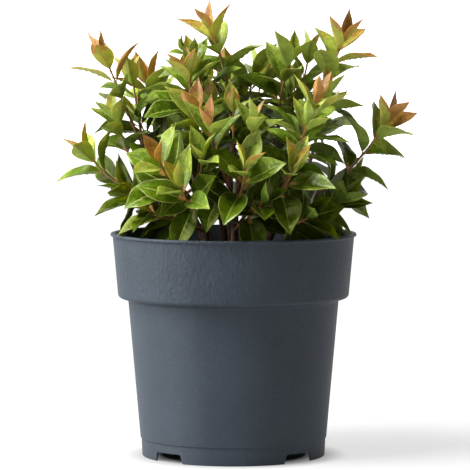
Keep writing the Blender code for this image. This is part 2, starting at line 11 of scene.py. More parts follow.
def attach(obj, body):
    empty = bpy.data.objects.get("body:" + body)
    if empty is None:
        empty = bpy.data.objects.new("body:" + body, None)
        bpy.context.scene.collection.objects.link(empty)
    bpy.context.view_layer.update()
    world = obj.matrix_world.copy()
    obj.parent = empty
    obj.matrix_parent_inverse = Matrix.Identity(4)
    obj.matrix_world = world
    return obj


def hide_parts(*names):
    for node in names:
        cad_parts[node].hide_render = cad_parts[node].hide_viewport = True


# A potted evergreen shrub with opposite leaves and bronze young tips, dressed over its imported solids.
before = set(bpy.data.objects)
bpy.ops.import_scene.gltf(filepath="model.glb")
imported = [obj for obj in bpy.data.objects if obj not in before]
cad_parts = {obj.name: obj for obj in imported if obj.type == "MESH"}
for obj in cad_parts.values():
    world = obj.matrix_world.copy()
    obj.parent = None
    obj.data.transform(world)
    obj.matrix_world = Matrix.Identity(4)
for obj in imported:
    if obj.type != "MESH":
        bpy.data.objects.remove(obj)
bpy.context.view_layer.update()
scene = bpy.context.scene
mm = 0.001
upward = Vector((0, 0, 1))
print("frame loaded,", len(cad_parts), "solids")


# a dictionary whose values are read as attributes
class Look(dict):
    __getattr__ = dict.__getitem__


# Shader maths: a Sock wraps a node's output, and an expression on Socks adds the Math nodes
class Sock:
    def __init__(self, paint, out):
        self.paint, self.out = paint, out

    def maths(self, operation, a, b):
        return self.paint.make("ShaderNodeMath", {"operation": operation}, {0: a, 1: b})

    def __add__(self, other):
        return self.maths("ADD", self, other)

    def __sub__(self, other):
        return self.maths("SUBTRACT", self, other)

    def __mul__(self, other):
        return self.maths("MULTIPLY", self, other)

    def __rsub__(self, other):
        return self.maths("SUBTRACT", other, self)

    __radd__ = __add__
    __rmul__ = __mul__


# one procedural material, whose sockets take plain values or Socks
class Paint:
    def __init__(self, name, colour, roughness, coat=0.0):
        self.material = bpy.data.materials.new(name)
        self.material.use_nodes = True
        self.tree = self.material.node_tree
        self.shader = self.tree.nodes["Principled BSDF"]
        self.put("Base Color", (*colour, 1))
        self.put("Roughness", roughness)
        self.put("Coat Weight", coat)
        self.put("Coat Roughness", 0.25)

    # one node: its settings first, then the values or links of its sockets
    def make(self, kind, settings, sockets, output=0):
        node = self.tree.nodes.new(kind)
        for key, value in settings.items():
            if key == "stops":
                for stop, (place, colour) in zip(node.color_ramp.elements, value):
                    stop.position, stop.color = place, colour
            else:
                setattr(node, key, value)
        for key, value in sockets.items():
            self.join(node.inputs[key], value)
        return Sock(self, node.outputs[output])

    def join(self, socket, value):
        if isinstance(value, Sock):
            self.tree.links.new(value.out, socket)
        else:
            socket.default_value = value

    def put(self, key, value):
        self.join(self.shader.inputs[key], value)

    def place(self, stretch=(1, 1, 1)):
        where = self.make("ShaderNodeTexCoord", {}, {}, "Object")
        return self.make("ShaderNodeMapping", {}, {"Vector": where, "Scale": stretch})

    def speckle(self, scale, detail=3.0, stretch=(1, 1, 1), rough=0.5):
        sockets = {"Vector": self.place(stretch), "Scale": scale, "Detail": detail, "Roughness": rough}
        return self.make("ShaderNodeTexNoise", {}, sockets, "Fac")

    def ramp(self, value, low, high):
        settings = {"stops": ((low, (0, 0, 0, 1)), (high, (1, 1, 1, 1)))}
        return self.make("ShaderNodeValToRGB", settings, {"Fac": value})

    def blendColour(self, share, first, second):
        first = first if isinstance(first, Sock) else (*first, 1)
        second = second if isinstance(second, Sock) else (*second, 1)
        return self.make("ShaderNodeMix", {"data_type": "RGBA"}, {0: share, 6: first, 7: second}, 2)

    def bump(self, height, strength, distance):
        sockets = {"Height": height, "Strength": strength, "Distance": distance}
        self.put("Normal", self.make("ShaderNodeBump", {}, sockets))


def scaled(colour, factor):
    return tuple(channel * factor for channel in colour)


# The pot: a turned profile, notched and drilled
potLook = Look(
    steps=200,
    height=172, lipRadius=95, collarTop=93.2, collarFoot=89, collarLevel=123.4,
    bodyTop=81.1, bodyLevel=120, bandRadius=71.7, bandLevel=13.9, footRadius=70.6,
    wall=1.5, floorLevel=7.5, padRadius=20,
    notches=4, notchWidth=30, notchTopShare=0.84, notchHeight=7.2, notchDepth=6, notchSoft=1.2,
    drains=8, drainRadius=4.5, drainRing=54, drainSides=24, creaseAngle=38,
    colour=(0.025, 0.033, 0.044), paleColour=(0.035, 0.047, 0.060), roughness=0.46,
    specular=0.24, clouds=22, streaks=30, grain=420, pits=900, leather=330, relief=0.0006,
)


# rounds the corners of a profile of (radius, height, fillet) points
def roundedProfile(corners, arcSteps=5):
    points = []
    for index, (r, z, fillet) in enumerate(corners):
        here = Vector((r, z))
        if fillet == 0 or index in (0, len(corners) - 1):
            points.append(here)
            continue
        back = Vector(corners[index - 1][:2]) - here
        ahead = Vector(corners[index + 1][:2]) - here
        cut = min(fillet, back.length * 0.45, ahead.length * 0.45)
        first = here + back.normalized() * cut
        last = here + ahead.normalized() * cut
        for step in range(arcSteps + 1):
            share = step / arcSteps
            points.append(first.lerp(here, share).lerp(here.lerp(last, share), share))
    return points


def meshPiece(name, points, faces, materials, slots=None, smooth=True):
    mesh = bpy.data.meshes.new(name)
    mesh.from_pydata([tuple(p) for p in points], [], faces)
    for material in materials:
        mesh.materials.append(material)
    if slots is not None:
        mesh.polygons.foreach_set("material_index", np.asarray(slots, dtype=np.int32))
    mesh.polygons.foreach_set("use_smooth", np.full(len(mesh.polygons), smooth))
    mesh.update()
    piece = bpy.data.objects.new(name, mesh)
    scene.collection.objects.link(piece)
    return piece


def circle(radius, level, count, centre=Vector()):
    turns = [math.tau * step / count for step in range(count)]
    return [centre + Vector((radius * math.cos(a), radius * math.sin(a), level)) for a in turns]


# quads between two rings of points, given the number of each ring's first point
def band(first, second, count):
    ahead = [(s + 1) % count for s in range(count)]
    return [(first + s, second + s, second + a, first + a) for s, a in enumerate(ahead)]


def turnedMesh(name, profile, steps, material):
    points, faces, start = [], [], 0
    onAxis = [r < 1e-6 for r, _ in profile]
    for (r, z), single in zip(profile, onAxis):
        points += [Vector((0, 0, z))] if single else circle(r, z, steps)
    for single, nextSingle in zip(onAxis, onAxis[1:]):
        after = start + (1 if single else steps)
        quads = band(start, after, steps)
        if single and nextSingle:
            quads = []
        elif single:
            quads = [(start, b, c) for _, b, c, _ in quads]
        elif nextSingle:
            quads = [(a, after, d) for a, _, _, d in quads]
        faces += quads
        start = after
    return meshPiece(name, [point * mm for point in points], faces, [material])


# takes the cutters away from a piece and leaves none of them in the scene
def cutAway(piece, cutters):
    for cutter in cutters:
        trim = piece.modifiers.new(cutter.name, "BOOLEAN")
        trim.operation = "DIFFERENCE"
        trim.solver = "EXACT"
        trim.object = cutter
    graph = bpy.context.evaluated_depsgraph_get()
    mesh = bpy.data.meshes.new_from_object(piece.evaluated_get(graph))
    piece.modifiers.clear()
    piece.data = mesh
    for cutter in cutters:
        bpy.data.objects.remove(cutter)
    mesh.polygons.foreach_set("use_smooth", np.full(len(mesh.polygons), True))
    mesh.set_sharp_from_angle(angle=math.radians(potLook.creaseAngle))


def paintPot():
    look = potLook
    paint = Paint("potPlastic", look.colour, look.roughness)
    paint.put("Specular IOR Level", look.specular)
    cloud = paint.speckle(look.clouds, 4)
    grain = paint.speckle(look.grain, 2)
    streaks = paint.speckle(look.streaks, 3, stretch=(1, 1, 0.12))
    share = paint.ramp(cloud * 0.4 + streaks * 0.3 + grain * 0.3, 0.4, 0.62)
    paint.put("Base Color", paint.blendColour(share, look.colour, look.paleColour))
    paint.put("Roughness", 0.42 + cloud * 0.14 + grain * 0.12)
    height = paint.make("ShaderNodeSeparateXYZ", {}, {"Vector": paint.place()}, "Z")
    collar = paint.ramp(height, look.collarLevel * mm, (look.collarLevel + 2) * mm)
    leather = paint.speckle(look.leather, 4, stretch=(1, 1, 0.6)) * collar
    pits = paint.speckle(look.pits, 2)
    paint.bump(grain * 0.35 + pits * 0.25 + leather * 1.4, 0.8, look.relief)
    return paint.material


def buildPot():
    look = potLook
    top, floor, wall, pad = look.height, look.floorLevel, look.wall, look.padRadius
    inside, foot = look.collarTop - wall, look.footRadius
    corners = [
        (inside, top - 0.8, 0), (inside + 0.5, top, 0.4), (look.lipRadius - 0.2, top, 0.9),
        (look.lipRadius, top - 2, 0.6), (look.collarTop + 0.3, top - 2.4, 0.5),
        (look.collarTop - 0.1, top - 3.4, 0.5), (look.collarFoot, look.collarLevel - 0.6, 2.2),
        (look.bodyTop + 0.2, look.bodyLevel + 0.3, 1.4), (look.bandRadius + 0.25, look.bandLevel, 0.3),
        (look.bandRadius - 0.45, look.bandLevel - 0.5, 0.3), (foot, 0, 0.5), (foot - wall, 0, 0.4),
        (foot - wall, floor, 0.5), (pad + 4, floor, 1.5), (pad, 0, 1), (0, 0, 0),
    ]
    underside = len(corners)
    corners += [
        (0, wall, 0), (pad, wall, 1), (pad + 4, floor + wall, 1.5),
        (look.bandRadius - wall, floor + wall, 1), (look.bodyTop - wall, look.bodyLevel + 1.6, 1.2),
        (look.collarFoot - wall, look.collarLevel + 1.2, 1.2), (inside, top - 0.8, 0),
    ]
    profile = roundedProfile(corners[:underside]) + roundedProfile(corners[underside:])
    material = paintPot()
    pot = turnedMesh("potShell", profile, look.steps, material)
    notches = [notchBlock(index, material) for index in range(look.notches)]
    drains = [drainPlug(index, material) for index in range(look.drains)]
    cutAway(pot, notches + drains)
    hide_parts("pot")
    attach(pot, "root")


def notchBlock(index, material):
    look = potLook
    bearing = math.radians(45 + index * 360 / look.notches)
    points = []
    for x in (-look.notchDepth, look.notchDepth):
        for y, z in ((-1, -2), (1, -2), (1, look.notchHeight), (-1, look.notchHeight)):
            half = look.notchWidth / 2 * (look.notchTopShare if z > 0 else 1)
            spot = Vector((look.footRadius + x, y * half, z)) * mm
            spot.rotate(Quaternion(upward, bearing))
            points.append(spot)
    faces = [(3, 2, 1, 0), (4, 5, 6, 7), (0, 1, 5, 4), (1, 2, 6, 5), (2, 3, 7, 6), (3, 0, 4, 7)]
    block = meshPiece(f"notchBlock{index}", points, faces, [material])
    rounding = block.modifiers.new("soft", "BEVEL")
    rounding.width = look.notchSoft * mm
    rounding.segments = 3
    return block


def drainPlug(index, material):
    look = potLook
    bearing, sides = math.tau * (index + 0.5) / look.drains, look.drainSides
    centre = Vector((math.cos(bearing), math.sin(bearing), 0)) * look.drainRing
    points = circle(look.drainRadius, look.floorLevel - 3, sides, centre)
    points += circle(look.drainRadius, look.floorLevel + look.wall + 3, sides, centre)
    faces = [tuple(reversed(range(sides))), tuple(range(sides, 2 * sides)), *band(sides, 0, sides)]
    return meshPiece(f"drainPlug{index}", [point * mm for point in points], faces, [material])


buildPot()
print("pot built")


# The soil: a lumpy top with crumbs of peat and flakes of bark
soilLook = Look(
    level=155, wallGap=1.0, swell=1.6, lumps=((3, 0.09, 0.9), (9, 0.35, 0.5), (17, 1.1, 0.35)),
    edgeDrop=2, dropFrom=60, dropOver=27, settled=0.6, rings=44, spokes=132,
    sideLevels=((125.5, 125.5), (123.5, 121), (121.8, 121.8), (9.5, 9.5)),
    crumbs=900, seed=5, smallShare=0.75, small=(0.7, 1.6), large=(1.6, 3.4), chipShare=0.32,
    crumbShape=(1.0, 0.9, 0.7), chipShape=(1.3, 0.8, 0.35),
    colour=(0.020, 0.013, 0.008), fibre=(0.085, 0.052, 0.026), flecks=260, grain=700, relief=0.0008,
    chip=(0.10, 0.060, 0.032), darkChip=(0.045, 0.026, 0.014), paleChip=(0.17, 0.105, 0.058),
    chipGrain=320, chipRelief=0.0004,
)


def insideRadius(level, inset=0.0):
    look = potLook
    if level >= look.collarLevel:
        share = (level - look.collarLevel) / (look.height - 2.4 - look.collarLevel)
        return look.collarFoot + (look.collarTop - look.collarFoot) * share - look.wall - inset
    share = (level - look.bandLevel) / (look.bodyLevel - look.bandLevel)
    return look.bandRadius + (look.bodyTop - look.bandRadius) * share - look.wall - inset


def soilHeight(x, y):
    look = soilLook
    drop = look.edgeDrop * max(0, (math.hypot(x, y) - look.dropFrom) / look.dropOver)
    lumps = sum(noise.noise(Vector((x, y, z)) * scale) * size for z, scale, size in look.lumps)
    return look.level - drop + look.swell * lumps - look.settled


def paintSoil():
    look = soilLook
    paint = Paint("pottingSoil", look.colour, 0.95)
    fleck = paint.ramp(paint.speckle(look.flecks, 4), 0.5, 0.72)
    paint.put("Base Color", paint.blendColour(fleck, look.colour, look.fibre))
    paint.put("Roughness", 1 - fleck * 0.15)
    paint.bump(paint.speckle(look.grain, 4), 0.7, look.relief)
    return paint.material


def paintChip():
    look = soilLook
    paint = Paint("barkChip", look.chip, 0.9)
    fleck = paint.speckle(look.chipGrain, 3, stretch=(1, 1, 0.3))
    paint.put("Base Color", paint.blendColour(fleck, look.darkChip, look.paleChip))
    paint.bump(fleck, 0.5, look.chipRelief)
    return paint.material


def buildSoil():
    look = soilLook
    dice = random.Random(look.seed)
    rings, spokes = look.rings, look.spokes
    rim = insideRadius(look.level - 2, look.wallGap)
    points = [Vector((0, 0, soilHeight(0, 0)))]
    for ring in range(1, rings + 1):
        for point in circle(rim * ring / rings, 0, spokes):
            point.z = soilHeight(point.x, point.y)
            points.append(point)
    for level, wallLevel in look.sideLevels:
        points += circle(insideRadius(wallLevel, look.wallGap), level, spokes)
    faces = [(0, 1 + s, 1 + (s + 1) % spokes) for s in range(spokes)]
    bands = rings + len(look.sideLevels) - 1
    for ring in range(bands):
        faces += band(1 + ring * spokes, 1 + (ring + 1) * spokes, spokes)
    last = 1 + bands * spokes
    faces.append(tuple(reversed(range(last, last + spokes))))
    slots = [0] * len(faces)
    for _ in range(look.crumbs):
        addCrumb(points, faces, slots, dice)
    soil = meshPiece("soilFill", [p * mm for p in points], faces, [paintSoil(), paintChip()], slots)
    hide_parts("soil")
    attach(soil, "root")


# a lump of peat or a flake of bark: a bent, squashed octahedron
def addCrumb(points, faces, slots, dice):
    look = soilLook
    size = dice.uniform(*look["small" if dice.random() < look.smallShare else "large"])
    chip = dice.random() < look.chipShare
    reach = (insideRadius(look.level - 2, look.wallGap) - size * 1.4) * math.sqrt(dice.random())
    angle = dice.uniform(0, math.tau)
    centre = Vector((reach * math.cos(angle), reach * math.sin(angle), 0))
    centre.z = soilHeight(centre.x, centre.y) + size * 0.1
    shape = Vector(look.chipShape if chip else look.crumbShape) * size
    turn = Quaternion((dice.uniform(-1, 1), dice.uniform(-1, 1), dice.uniform(-1, 1)), dice.uniform(0, 3))
    if chip:
        turn = Quaternion((dice.uniform(-0.3, 0.3), dice.uniform(-0.3, 0.3), 1), dice.uniform(0, 6))
    start = len(points)
    ways = [(1, 0, 0), (-1, 0, 0), (0, 1, 0), (0, -1, 0), (0, 0, 1), (0, 0, -1)]
    for way in ways:
        spot = Vector((w * s * dice.uniform(0.75, 1.15) for w, s in zip(way, shape)))
        spot += Vector((dice.uniform(-0.2, 0.2) for _ in range(3))) * size
        spot.rotate(turn)
        points.append(centre + spot)
    for a, b, c in ((0, 2, 4), (2, 1, 4), (1, 3, 4), (3, 0, 4), (2, 0, 5), (1, 2, 5), (3, 1, 5), (0, 3, 5)):
        faces.append((start + a, start + b, start + c))
        slots.append(1 if chip else 0)


buildSoil()
print("soil filled")


# How the shrub grows: where each stem stands, then where its high, mid and low shoots end, as bearing round
# the axis in degrees (0 right, 90 back, 180 left, 270 front), distance from the axis and height in mm, with
# the turn of the shoot's leaf pairs
stemRows = {
    "left": ((184, 22), (183, 97, 303, 90), (184, 110, 231, 76), (192, 80, 205, 60)),
    "front_left": ((218, 26), (216, 42, 290, 90), (236, 98, 230, 166), (217, 80, 192, 35)),
    "front_inner": ((240, 14), (243, 62, 264, 90), (246, 96, 211, 169)),
    "front": ((272, 25), (258, 82, 252, 68), (275, 94, 225, 150), (285, 82, 199, 162)),
    "front_right": ((312, 24), (320, 80, 271, 4), (298, 94, 224, 137), (311, 84, 187, 29)),
    "right": ((348, 27), (359, 83, 317, 52), (355, 117, 256, 41), (340, 84, 196, 63)),
    "back_right": ((35, 22), (3, 44, 303, 45), (45, 98, 263, 75), (22, 92, 208, 80)),
    "centre": ((120, 6), (196, 17, 325, 130), (65, 38, 295, 52)),
    "back": ((88, 26), (94, 70, 286, 0), (78, 96, 236, 118), (71, 94, 207, 37)),
    "back_left": ((140, 24), (151, 78, 285, 45), (121, 98, 252, 33), (156, 92, 205, 113)),
}
crown = {name: (foot, dict(zip(("high", "mid", "low"), tips))) for name, (foot, *tips) in stemRows.items()}
growth = Look(
    soil=155, gap=0.3, room=1.5,
    stem=3.0, stemTip=2.1, bough=1.8, boughTip=1.55, twig=1.45, twigTip=1.0,
    forkRise=44, forkShare=0.26, limbSteps=4, pathSteps=33, twigLength=96, pull=0.38,
    startRise={"mid": 0.80, "low": 0.40}, startLean={"mid": 34, "low": 50},
    tipLean={"high": 24, "mid": 34, "low": 58}, bendRoom={"mid": 0.3, "low": 0.1},
    sideTries=8, sideReach=96, sideLengths=(50, 62), sideTurns=(-15, 15), sideTwig=1.23, sideScale=0.86,
    sideWays=((0.7, 0.7, 0), (0.62, 0.55, 0.35), (0.5, 0.2, 0.6)),
    ranks=8, grownRank=5, budLeaf=29, grownLeaf=47, budDepth=1.2,
    firstStep=4, lastStep=21, paces=(0.92, 1.1), footRoom=5,
    scatter={"bend": 8, "fold": 3, "spread": 6, "swing": 9, "roll": 14},
    sizeSpread=(0.08, 0.06), widths=(0.36, 0.09), bends=(10, 34), folds=(32, 15), spreads=(24, 34),
    turnUp=0.35, thickness=0.016, leafRoom=0.5, bladeRoom=((0.34, 1.08), (0.5, 1.1), (0.7, 0.9)),
    mostOfLeaf=(0.16, 0.6), wholeLeaf=(0.03, 0.2), space=66,
    turns=(
        (0, 0), (10, 0), (-10, 0), (0, 14), (0, -14), (18, 10), (18, -10), (-18, 10), (-18, -10),
        (28, 0), (-28, 0), (8, 28), (8, -28), (-10, 28), (-10, -28), (38, 14), (38, -14),
    ),
)


def polar(bearing, reach, height):
    angle = math.radians(bearing)
    return Vector((reach * mm * math.cos(angle), reach * mm * math.sin(angle), height * mm))


# a limb's centre line, read by the distance from its start
class Path:
    def __init__(self, start, startWay, end, endWay):
        pull = (end - start).length * growth.pull
        steps = growth.pathSteps
        self.points = interpolate_bezier(start, start + startWay * pull, end - endWay * pull, end, steps)
        self.travelled = [0.0]
        for here, there in zip(self.points, self.points[1:]):
            self.travelled.append(self.travelled[-1] + (there - here).length)
        self.length = self.travelled[-1]

    def at(self, distance):
        distance = min(max(distance, 0.0), self.length)
        index = 1
        while self.travelled[index] < distance and index < len(self.points) - 1:
            index += 1
        here, there = self.points[index - 1], self.points[index]
        share = (distance - self.travelled[index - 1]) / (self.travelled[index] - self.travelled[index - 1])
        return here.lerp(there, share)

    def way(self, distance):
        return (self.at(distance + 2 * mm) - self.at(distance - 2 * mm)).normalized()

    def away(self, point):
        return min((point - here).length for here in self.points)


# a closed triangulated skin over equal rings, its ends flat or drawn in to two points
def loft(sections, ends=None):
    sides = len(sections[0])
    points = [point for section in sections for point in section]
    faces = []
    for ring in range(len(sections) - 1):
        for side in range(sides):
            a, b = ring * sides + side, ring * sides + (side + 1) % sides
            faces += [(a, b, b + sides), (a, b + sides, a + sides)]
    last = len(points) - sides
    if ends is None:
        faces += [(0, side + 1, side) for side in range(1, sides - 1)]
        faces += [(last, last + side, last + side + 1) for side in range(1, sides - 1)]
        return points, faces
    start, finish = len(points), len(points) + 1
    for side in range(sides):
        faces += [((side + 1) % sides, side, start), (last + side, last + (side + 1) % sides, finish)]
    return points + list(ends), faces


def squareTo(way):
    level = upward.cross(way)
    level = level.normalized() if level.length > 1e-4 else Vector((1, 0, 0))
    return level, way.cross(level).normalized()


# the first way, turned by an angle towards a second one that is square to it
def swung(first, second, angle):
    return first * math.cos(angle) + second * math.sin(angle)


def tube(path, stations, startRadius, endRadius, sides):
    sections = []
    for distance in stations:
        share = (distance - stations[0]) / (stations[-1] - stations[0])
        radius = (startRadius + (endRadius - startRadius) * share) * mm
        level, rise = squareTo(path.way(distance))
        centre = path.at(distance)
        angles = [math.tau * side / sides for side in range(sides)]
        sections.append([centre + swung(level, rise, angle) * radius for angle in angles])
    return loft(sections)


def ball(points):
    centre = sum(points, Vector()) / len(points)
    return centre, max((point - centre).length for point in points)


def inPot(point):
    reach, height, room = math.hypot(point.x, point.y) / mm, point.z / mm, growth.room
    if height > potLook.height + room:
        return False
    if reach < insideRadius(potLook.height, room):
        return height < growth.soil + room
    return reach < potLook.lipRadius + room


# one blade: where it leaves its twig, which way it points and faces, and how it is shaped
class Leaf:
    def __init__(self, shoot, rank, side):
        dice = random.Random(f"{shoot.name} {shoot.turn} {rank} {side}")
        grown = min(1, rank / growth.grownRank)
        longer, broader = [dice.uniform(1 - s, 1 + s) for s in growth.sizeSpread]
        angle = {name: dice.uniform(-s, s) for name, s in growth.scatter.items()}
        most = growth.grownLeaf - growth.budLeaf
        self.length = (growth.budLeaf + most * grown**0.6) * mm * shoot.scale * longer
        (width, moreWidth), (bend, moreBend) = growth.widths, growth.bends
        (fold, lessFold), (spread, moreSpread) = growth.folds, growth.spreads
        self.width = self.length * (width + moreWidth * min(1, grown * 1.6)) * broader
        self.bend = math.radians(bend + moreBend * grown + angle["bend"])
        self.fold = math.radians(fold - lessFold * grown + angle["fold"])
        self.spread = spread + moreSpread * grown**0.5 + angle["spread"]
        self.swing, self.roll = angle["swing"], angle["roll"]
        self.shoot, self.rank, self.side = shoot, rank, side
        self.distance = shoot.path.length - shoot.rankDistance(rank)
        self.turn = shoot.turn + 90 * rank + 180 * side

    def aim(self, moreSpread, moreSwing):
        way = self.shoot.path.way(self.distance)
        level, rise = squareTo(way)
        turn = math.radians(self.turn + self.swing + moreSwing)
        out = swung(level, rise, turn)
        spread = math.radians(self.spread + moreSpread)
        self.way = swung(way, out, spread)
        facing = swung(-out, way, spread)
        facing += growth.turnUp * (upward - self.way * upward.dot(self.way))
        facing.rotate(Quaternion(self.way, math.radians(self.roll)))
        self.facing = facing.normalized()
        self.across = self.facing.cross(self.way)
        self.foot = self.shoot.axis(self.distance)

    def line(self, share):
        angle = self.bend * share
        along, drop = math.sin(angle) / self.bend, (1 - math.cos(angle)) / self.bend
        point = self.foot + (self.way * along - self.facing * drop) * self.length
        return point, swung(self.facing, self.way, angle)

    def section(self, share, widthShare, thickness):
        centre, facing = self.line(share)
        half = self.width * widthShare / 2
        side, lift = self.across * half * math.cos(self.fold), facing * half * math.sin(self.fold)
        thick = facing * thickness / 2
        return [centre - side + lift, centre - thick, centre + side + lift, centre + thick]

    # a slightly thicker and wider blade from a share of its length on, for keeping clear of things
    def roomFrom(self, start, startWidth, room=growth.leafRoom):
        thickness = self.length * growth.thickness + 2 * room * mm
        shape = ((start, startWidth), *growth.bladeRoom)
        sections = [self.section(share, width, thickness) for share, width in shape]
        return loft(sections, (self.line(start / 2)[0], self.line(1.02)[0]))


# a leafy twig: its centre line from its foot to its bud, and its leaf pairs
class Shoot:
    def __init__(self, name, path, foot, radius, turn, scale, mass):
        self.name, self.path, self.foot, self.radius = name, path, foot, radius
        self.turn, self.scale, self.mass = turn, scale, mass
        self.pace = random.Random(name).uniform(*growth.paces)

    def rankDistance(self, rank):
        distance = growth.budDepth * mm
        for step in range(rank):
            grown = min(1, (step + 0.4) / (growth.grownRank - 1))
            more = growth.lastStep - growth.firstStep
            distance += (growth.firstStep + more * grown) * mm * self.pace
        return distance * self.scale

    def ranks(self):
        clear = self.foot + growth.footRoom * mm * min(1, self.scale * 2 - 0.5)
        return [r for r in range(growth.ranks) if self.path.length - self.rankDistance(r) > clear]

    def joints(self):
        length = self.path.length
        halfway = [(self.rankDistance(r) + self.rankDistance(r - 1)) / 2 for r in self.ranks()[2:]]
        return [self.foot] + [length - distance for distance in reversed(halfway)] + [length]

    def axis(self, distance):
        joints = self.joints()
        after = next((i for i in range(1, len(joints)) if joints[i] >= distance), len(joints) - 1)
        share = (distance - joints[after - 1]) / (joints[after] - joints[after - 1])
        return self.path.at(joints[after - 1]).lerp(self.path.at(joints[after]), share)

    def roomRound(self):
        more = 2 * growth.gap
        return tube(self.path, self.joints(), self.radius + more, growth.twigTip + more, 6)


# what is already placed, with the mass it belongs to, so that a new blade can keep clear of it
class Crowd:
    def __init__(self):
        self.things = []

    def add(self, skin, mass=None):
        centre, radius = ball(skin[0])
        self.things.append((centre, radius, BVHTree.FromPolygons(*skin), mass))

    def touchedBy(self, skin, ownMass=None):
        centre, radius = ball(skin[0])
        tree = BVHTree.FromPolygons(*skin)
        for otherCentre, otherRadius, other, mass in self.things:
            if ownMass is not None and mass == ownMass:
                continue
            if (centre - otherCentre).length < radius + otherRadius and tree.overlap(other):
                return True
        return False


def planLimbs():
    stems, boughs, shoots = [], [], []
    for name, (foot, tips) in crown.items():
        ground = polar(*foot, growth.soil + growth.gap)
        ends = {part: polar(*tip[:3]) for part, tip in tips.items()}
        leading = [end for part, end in ends.items() if part != "low"]
        aim = sum(leading, Vector()) / len(leading)
        fork = ground.lerp(aim, growth.forkShare)
        fork.z = (growth.soil + growth.forkRise) * mm
        lean = (aim - fork).normalized()
        stem = Path(ground, upward, fork, lean)
        stems.append((name, stem))
        for part, end in ends.items():
            mass = f"{name}_{part}"
            outward = Vector((end.x, end.y, 0)).normalized()
            endWay = swung(upward, outward, math.radians(growth.tipLean[part]))
            start, startWay = fork + lean * growth.gap * mm, lean
            if part != "high":
                start, startWay = sideStart(stem, part, end)
            path = Path(start, startWay, end, endWay)
            foot = 0.0
            if part != "low":
                boughEnd = max(path.length - growth.twigLength * mm, path.length * 0.2)
                boughs.append((mass, path, boughEnd))
                foot = boughEnd + growth.gap * mm
            shoots.append(Shoot(mass, path, foot, growth.twig, tips[part][3], 1.0, mass))
    return stems, boughs, shoots


# where a lower bough or twig leaves the side of its stem, and which way
def sideStart(stem, part, end):
    share = growth.startRise[part]
    rise = stem.length * share
    way = stem.way(rise)
    towards = end - stem.at(rise)
    aside = (towards - way * towards.dot(way)).normalized()
    lean = math.radians(growth.startLean[part])
    startWay = swung(way, aside, lean)
    stemRadius = growth.stem + (growth.stemTip - growth.stem) * share + growth.bendRoom[part]
    own = growth.bough if part == "mid" else growth.twig
    lean = max(startWay.angle(way), math.radians(20))
    out = ((stemRadius + growth.gap) / math.sin(lean) + own / math.tan(lean)) * mm
    return stem.at(rise) + startWay * out, startWay


def sideShoot(main, number):
    dice = random.Random(f"side {main.name} {number}")
    rank = main.ranks()[-1 - number % 2]
    distance = main.path.length - main.rankDistance(rank)
    way = main.path.way(distance)
    level, rise = squareTo(way)
    turn = main.turn + 90 * rank + 180 * dice.randrange(2)
    turn = math.radians(turn + dice.uniform(*growth.sideTurns))
    out = swung(level, rise, turn)
    ways = [(way * a + out * b + upward * c).normalized() for a, b, c in growth.sideWays]
    start = main.axis(distance)
    end = start + ways[1] * dice.uniform(*(length * mm for length in growth.sideLengths))
    path = Path(start, ways[0], end, ways[2])
    name = f"{main.name}_side_{number}"
    return Shoot(name, path, 0.0, growth.sideTwig, main.turn + 45, growth.sideScale, main.mass)


def stations(end):
    steps = growth.limbSteps
    return [end * step / steps for step in range(steps + 1)]


def placeLimbs(stems, boughs, shoots):
    crowd, gap = Crowd(), growth.gap
    for _, stem in stems:
        crowd.add(tube(stem, stations(stem.length), growth.stem + gap, growth.stemTip + gap, 6))
    for _, path, end in boughs:
        crowd.add(tube(path, stations(end), growth.bough + gap, growth.boughTip + gap, 6))
    for shoot in shoots:
        crowd.add(shoot.roomRound(), shoot.mass)
    for main in list(shoots):
        if main.name.endswith("low"):
            continue
        for number in range(growth.sideTries):
            side = sideShoot(main, number)
            if fits(side, crowd):
                crowd.add(side.roomRound(), side.mass)
                shoots.append(side)
                break
    return crowd


def fits(side, crowd):
    tip = side.path.points[-1]
    if math.hypot(tip.x, tip.y) > growth.sideReach * mm:
        return False
    twig = growth.twig
    beyond = tube(side.path, [6 * twig * mm, side.path.length], twig, twig, 4)
    if crowd.touchedBy(beyond) or crowd.touchedBy(side.roomRound(), side.mass):
        return False
    return not any(inPot(point) for point in beyond[0])


# the youngest leaves of every shoot come first; a blade that can't keep clear is skipped
def growLeaves(shoots, crowd, mainPaths):
    leaves = []
    for rank in range(growth.ranks):
        for shoot in shoots:
            if rank not in shoot.ranks():
                continue
            for side in (0, 1):
                leaf = Leaf(shoot, rank, side)
                if placed(leaf, mainPaths[shoot.mass], crowd):
                    leaves.append(leaf)
    return leaves


# turns a blade until most of it keeps clear of everything; the whole of a rooted one, which joins the
# crowd at once, also keeps clear of the other masses
def placed(leaf, mainPath, crowd, room=growth.leafRoom, rooted=True):
    mass = leaf.shoot.mass
    for turn in growth.turns:
        leaf.aim(*turn)
        most = leaf.roomFrom(*growth.mostOfLeaf, room)
        if mainPath.away(most[0][-1]) > growth.space * mm or any(inPot(point) for point in most[0]):
            continue
        if crowd.touchedBy(most):
            continue
        if not rooted:
            return True
        whole = leaf.roomFrom(*growth.wholeLeaf)
        if not crowd.touchedBy(whole, mass):
            crowd.add(whole, mass)
            return True
    return False


stems, boughs, shoots = planLimbs()
crowd = placeLimbs(stems, boughs, shoots)
mainPaths = {shoot.mass: shoot.path for shoot in reversed(shoots)}
leaves = growLeaves(shoots, crowd, mainPaths)
print(len(shoots), "shoots,", len(leaves), "leaves")


# Finer twigs from the axils of the grown leaves, each with two small pairs
sprayLook = Look(
    seed=11, tries=400, firstRank=1, ranks=2, scales=(0.28, 0.44), lengths=(12, 22),
    lean=0.65, leanSpread=0.15, facing=0.6, startRise=0.25, endRise=0.4, lift=0.4,
    radius=0.75, axil=8, twigRoom=(0.6, 0.5), room=0.05,
)


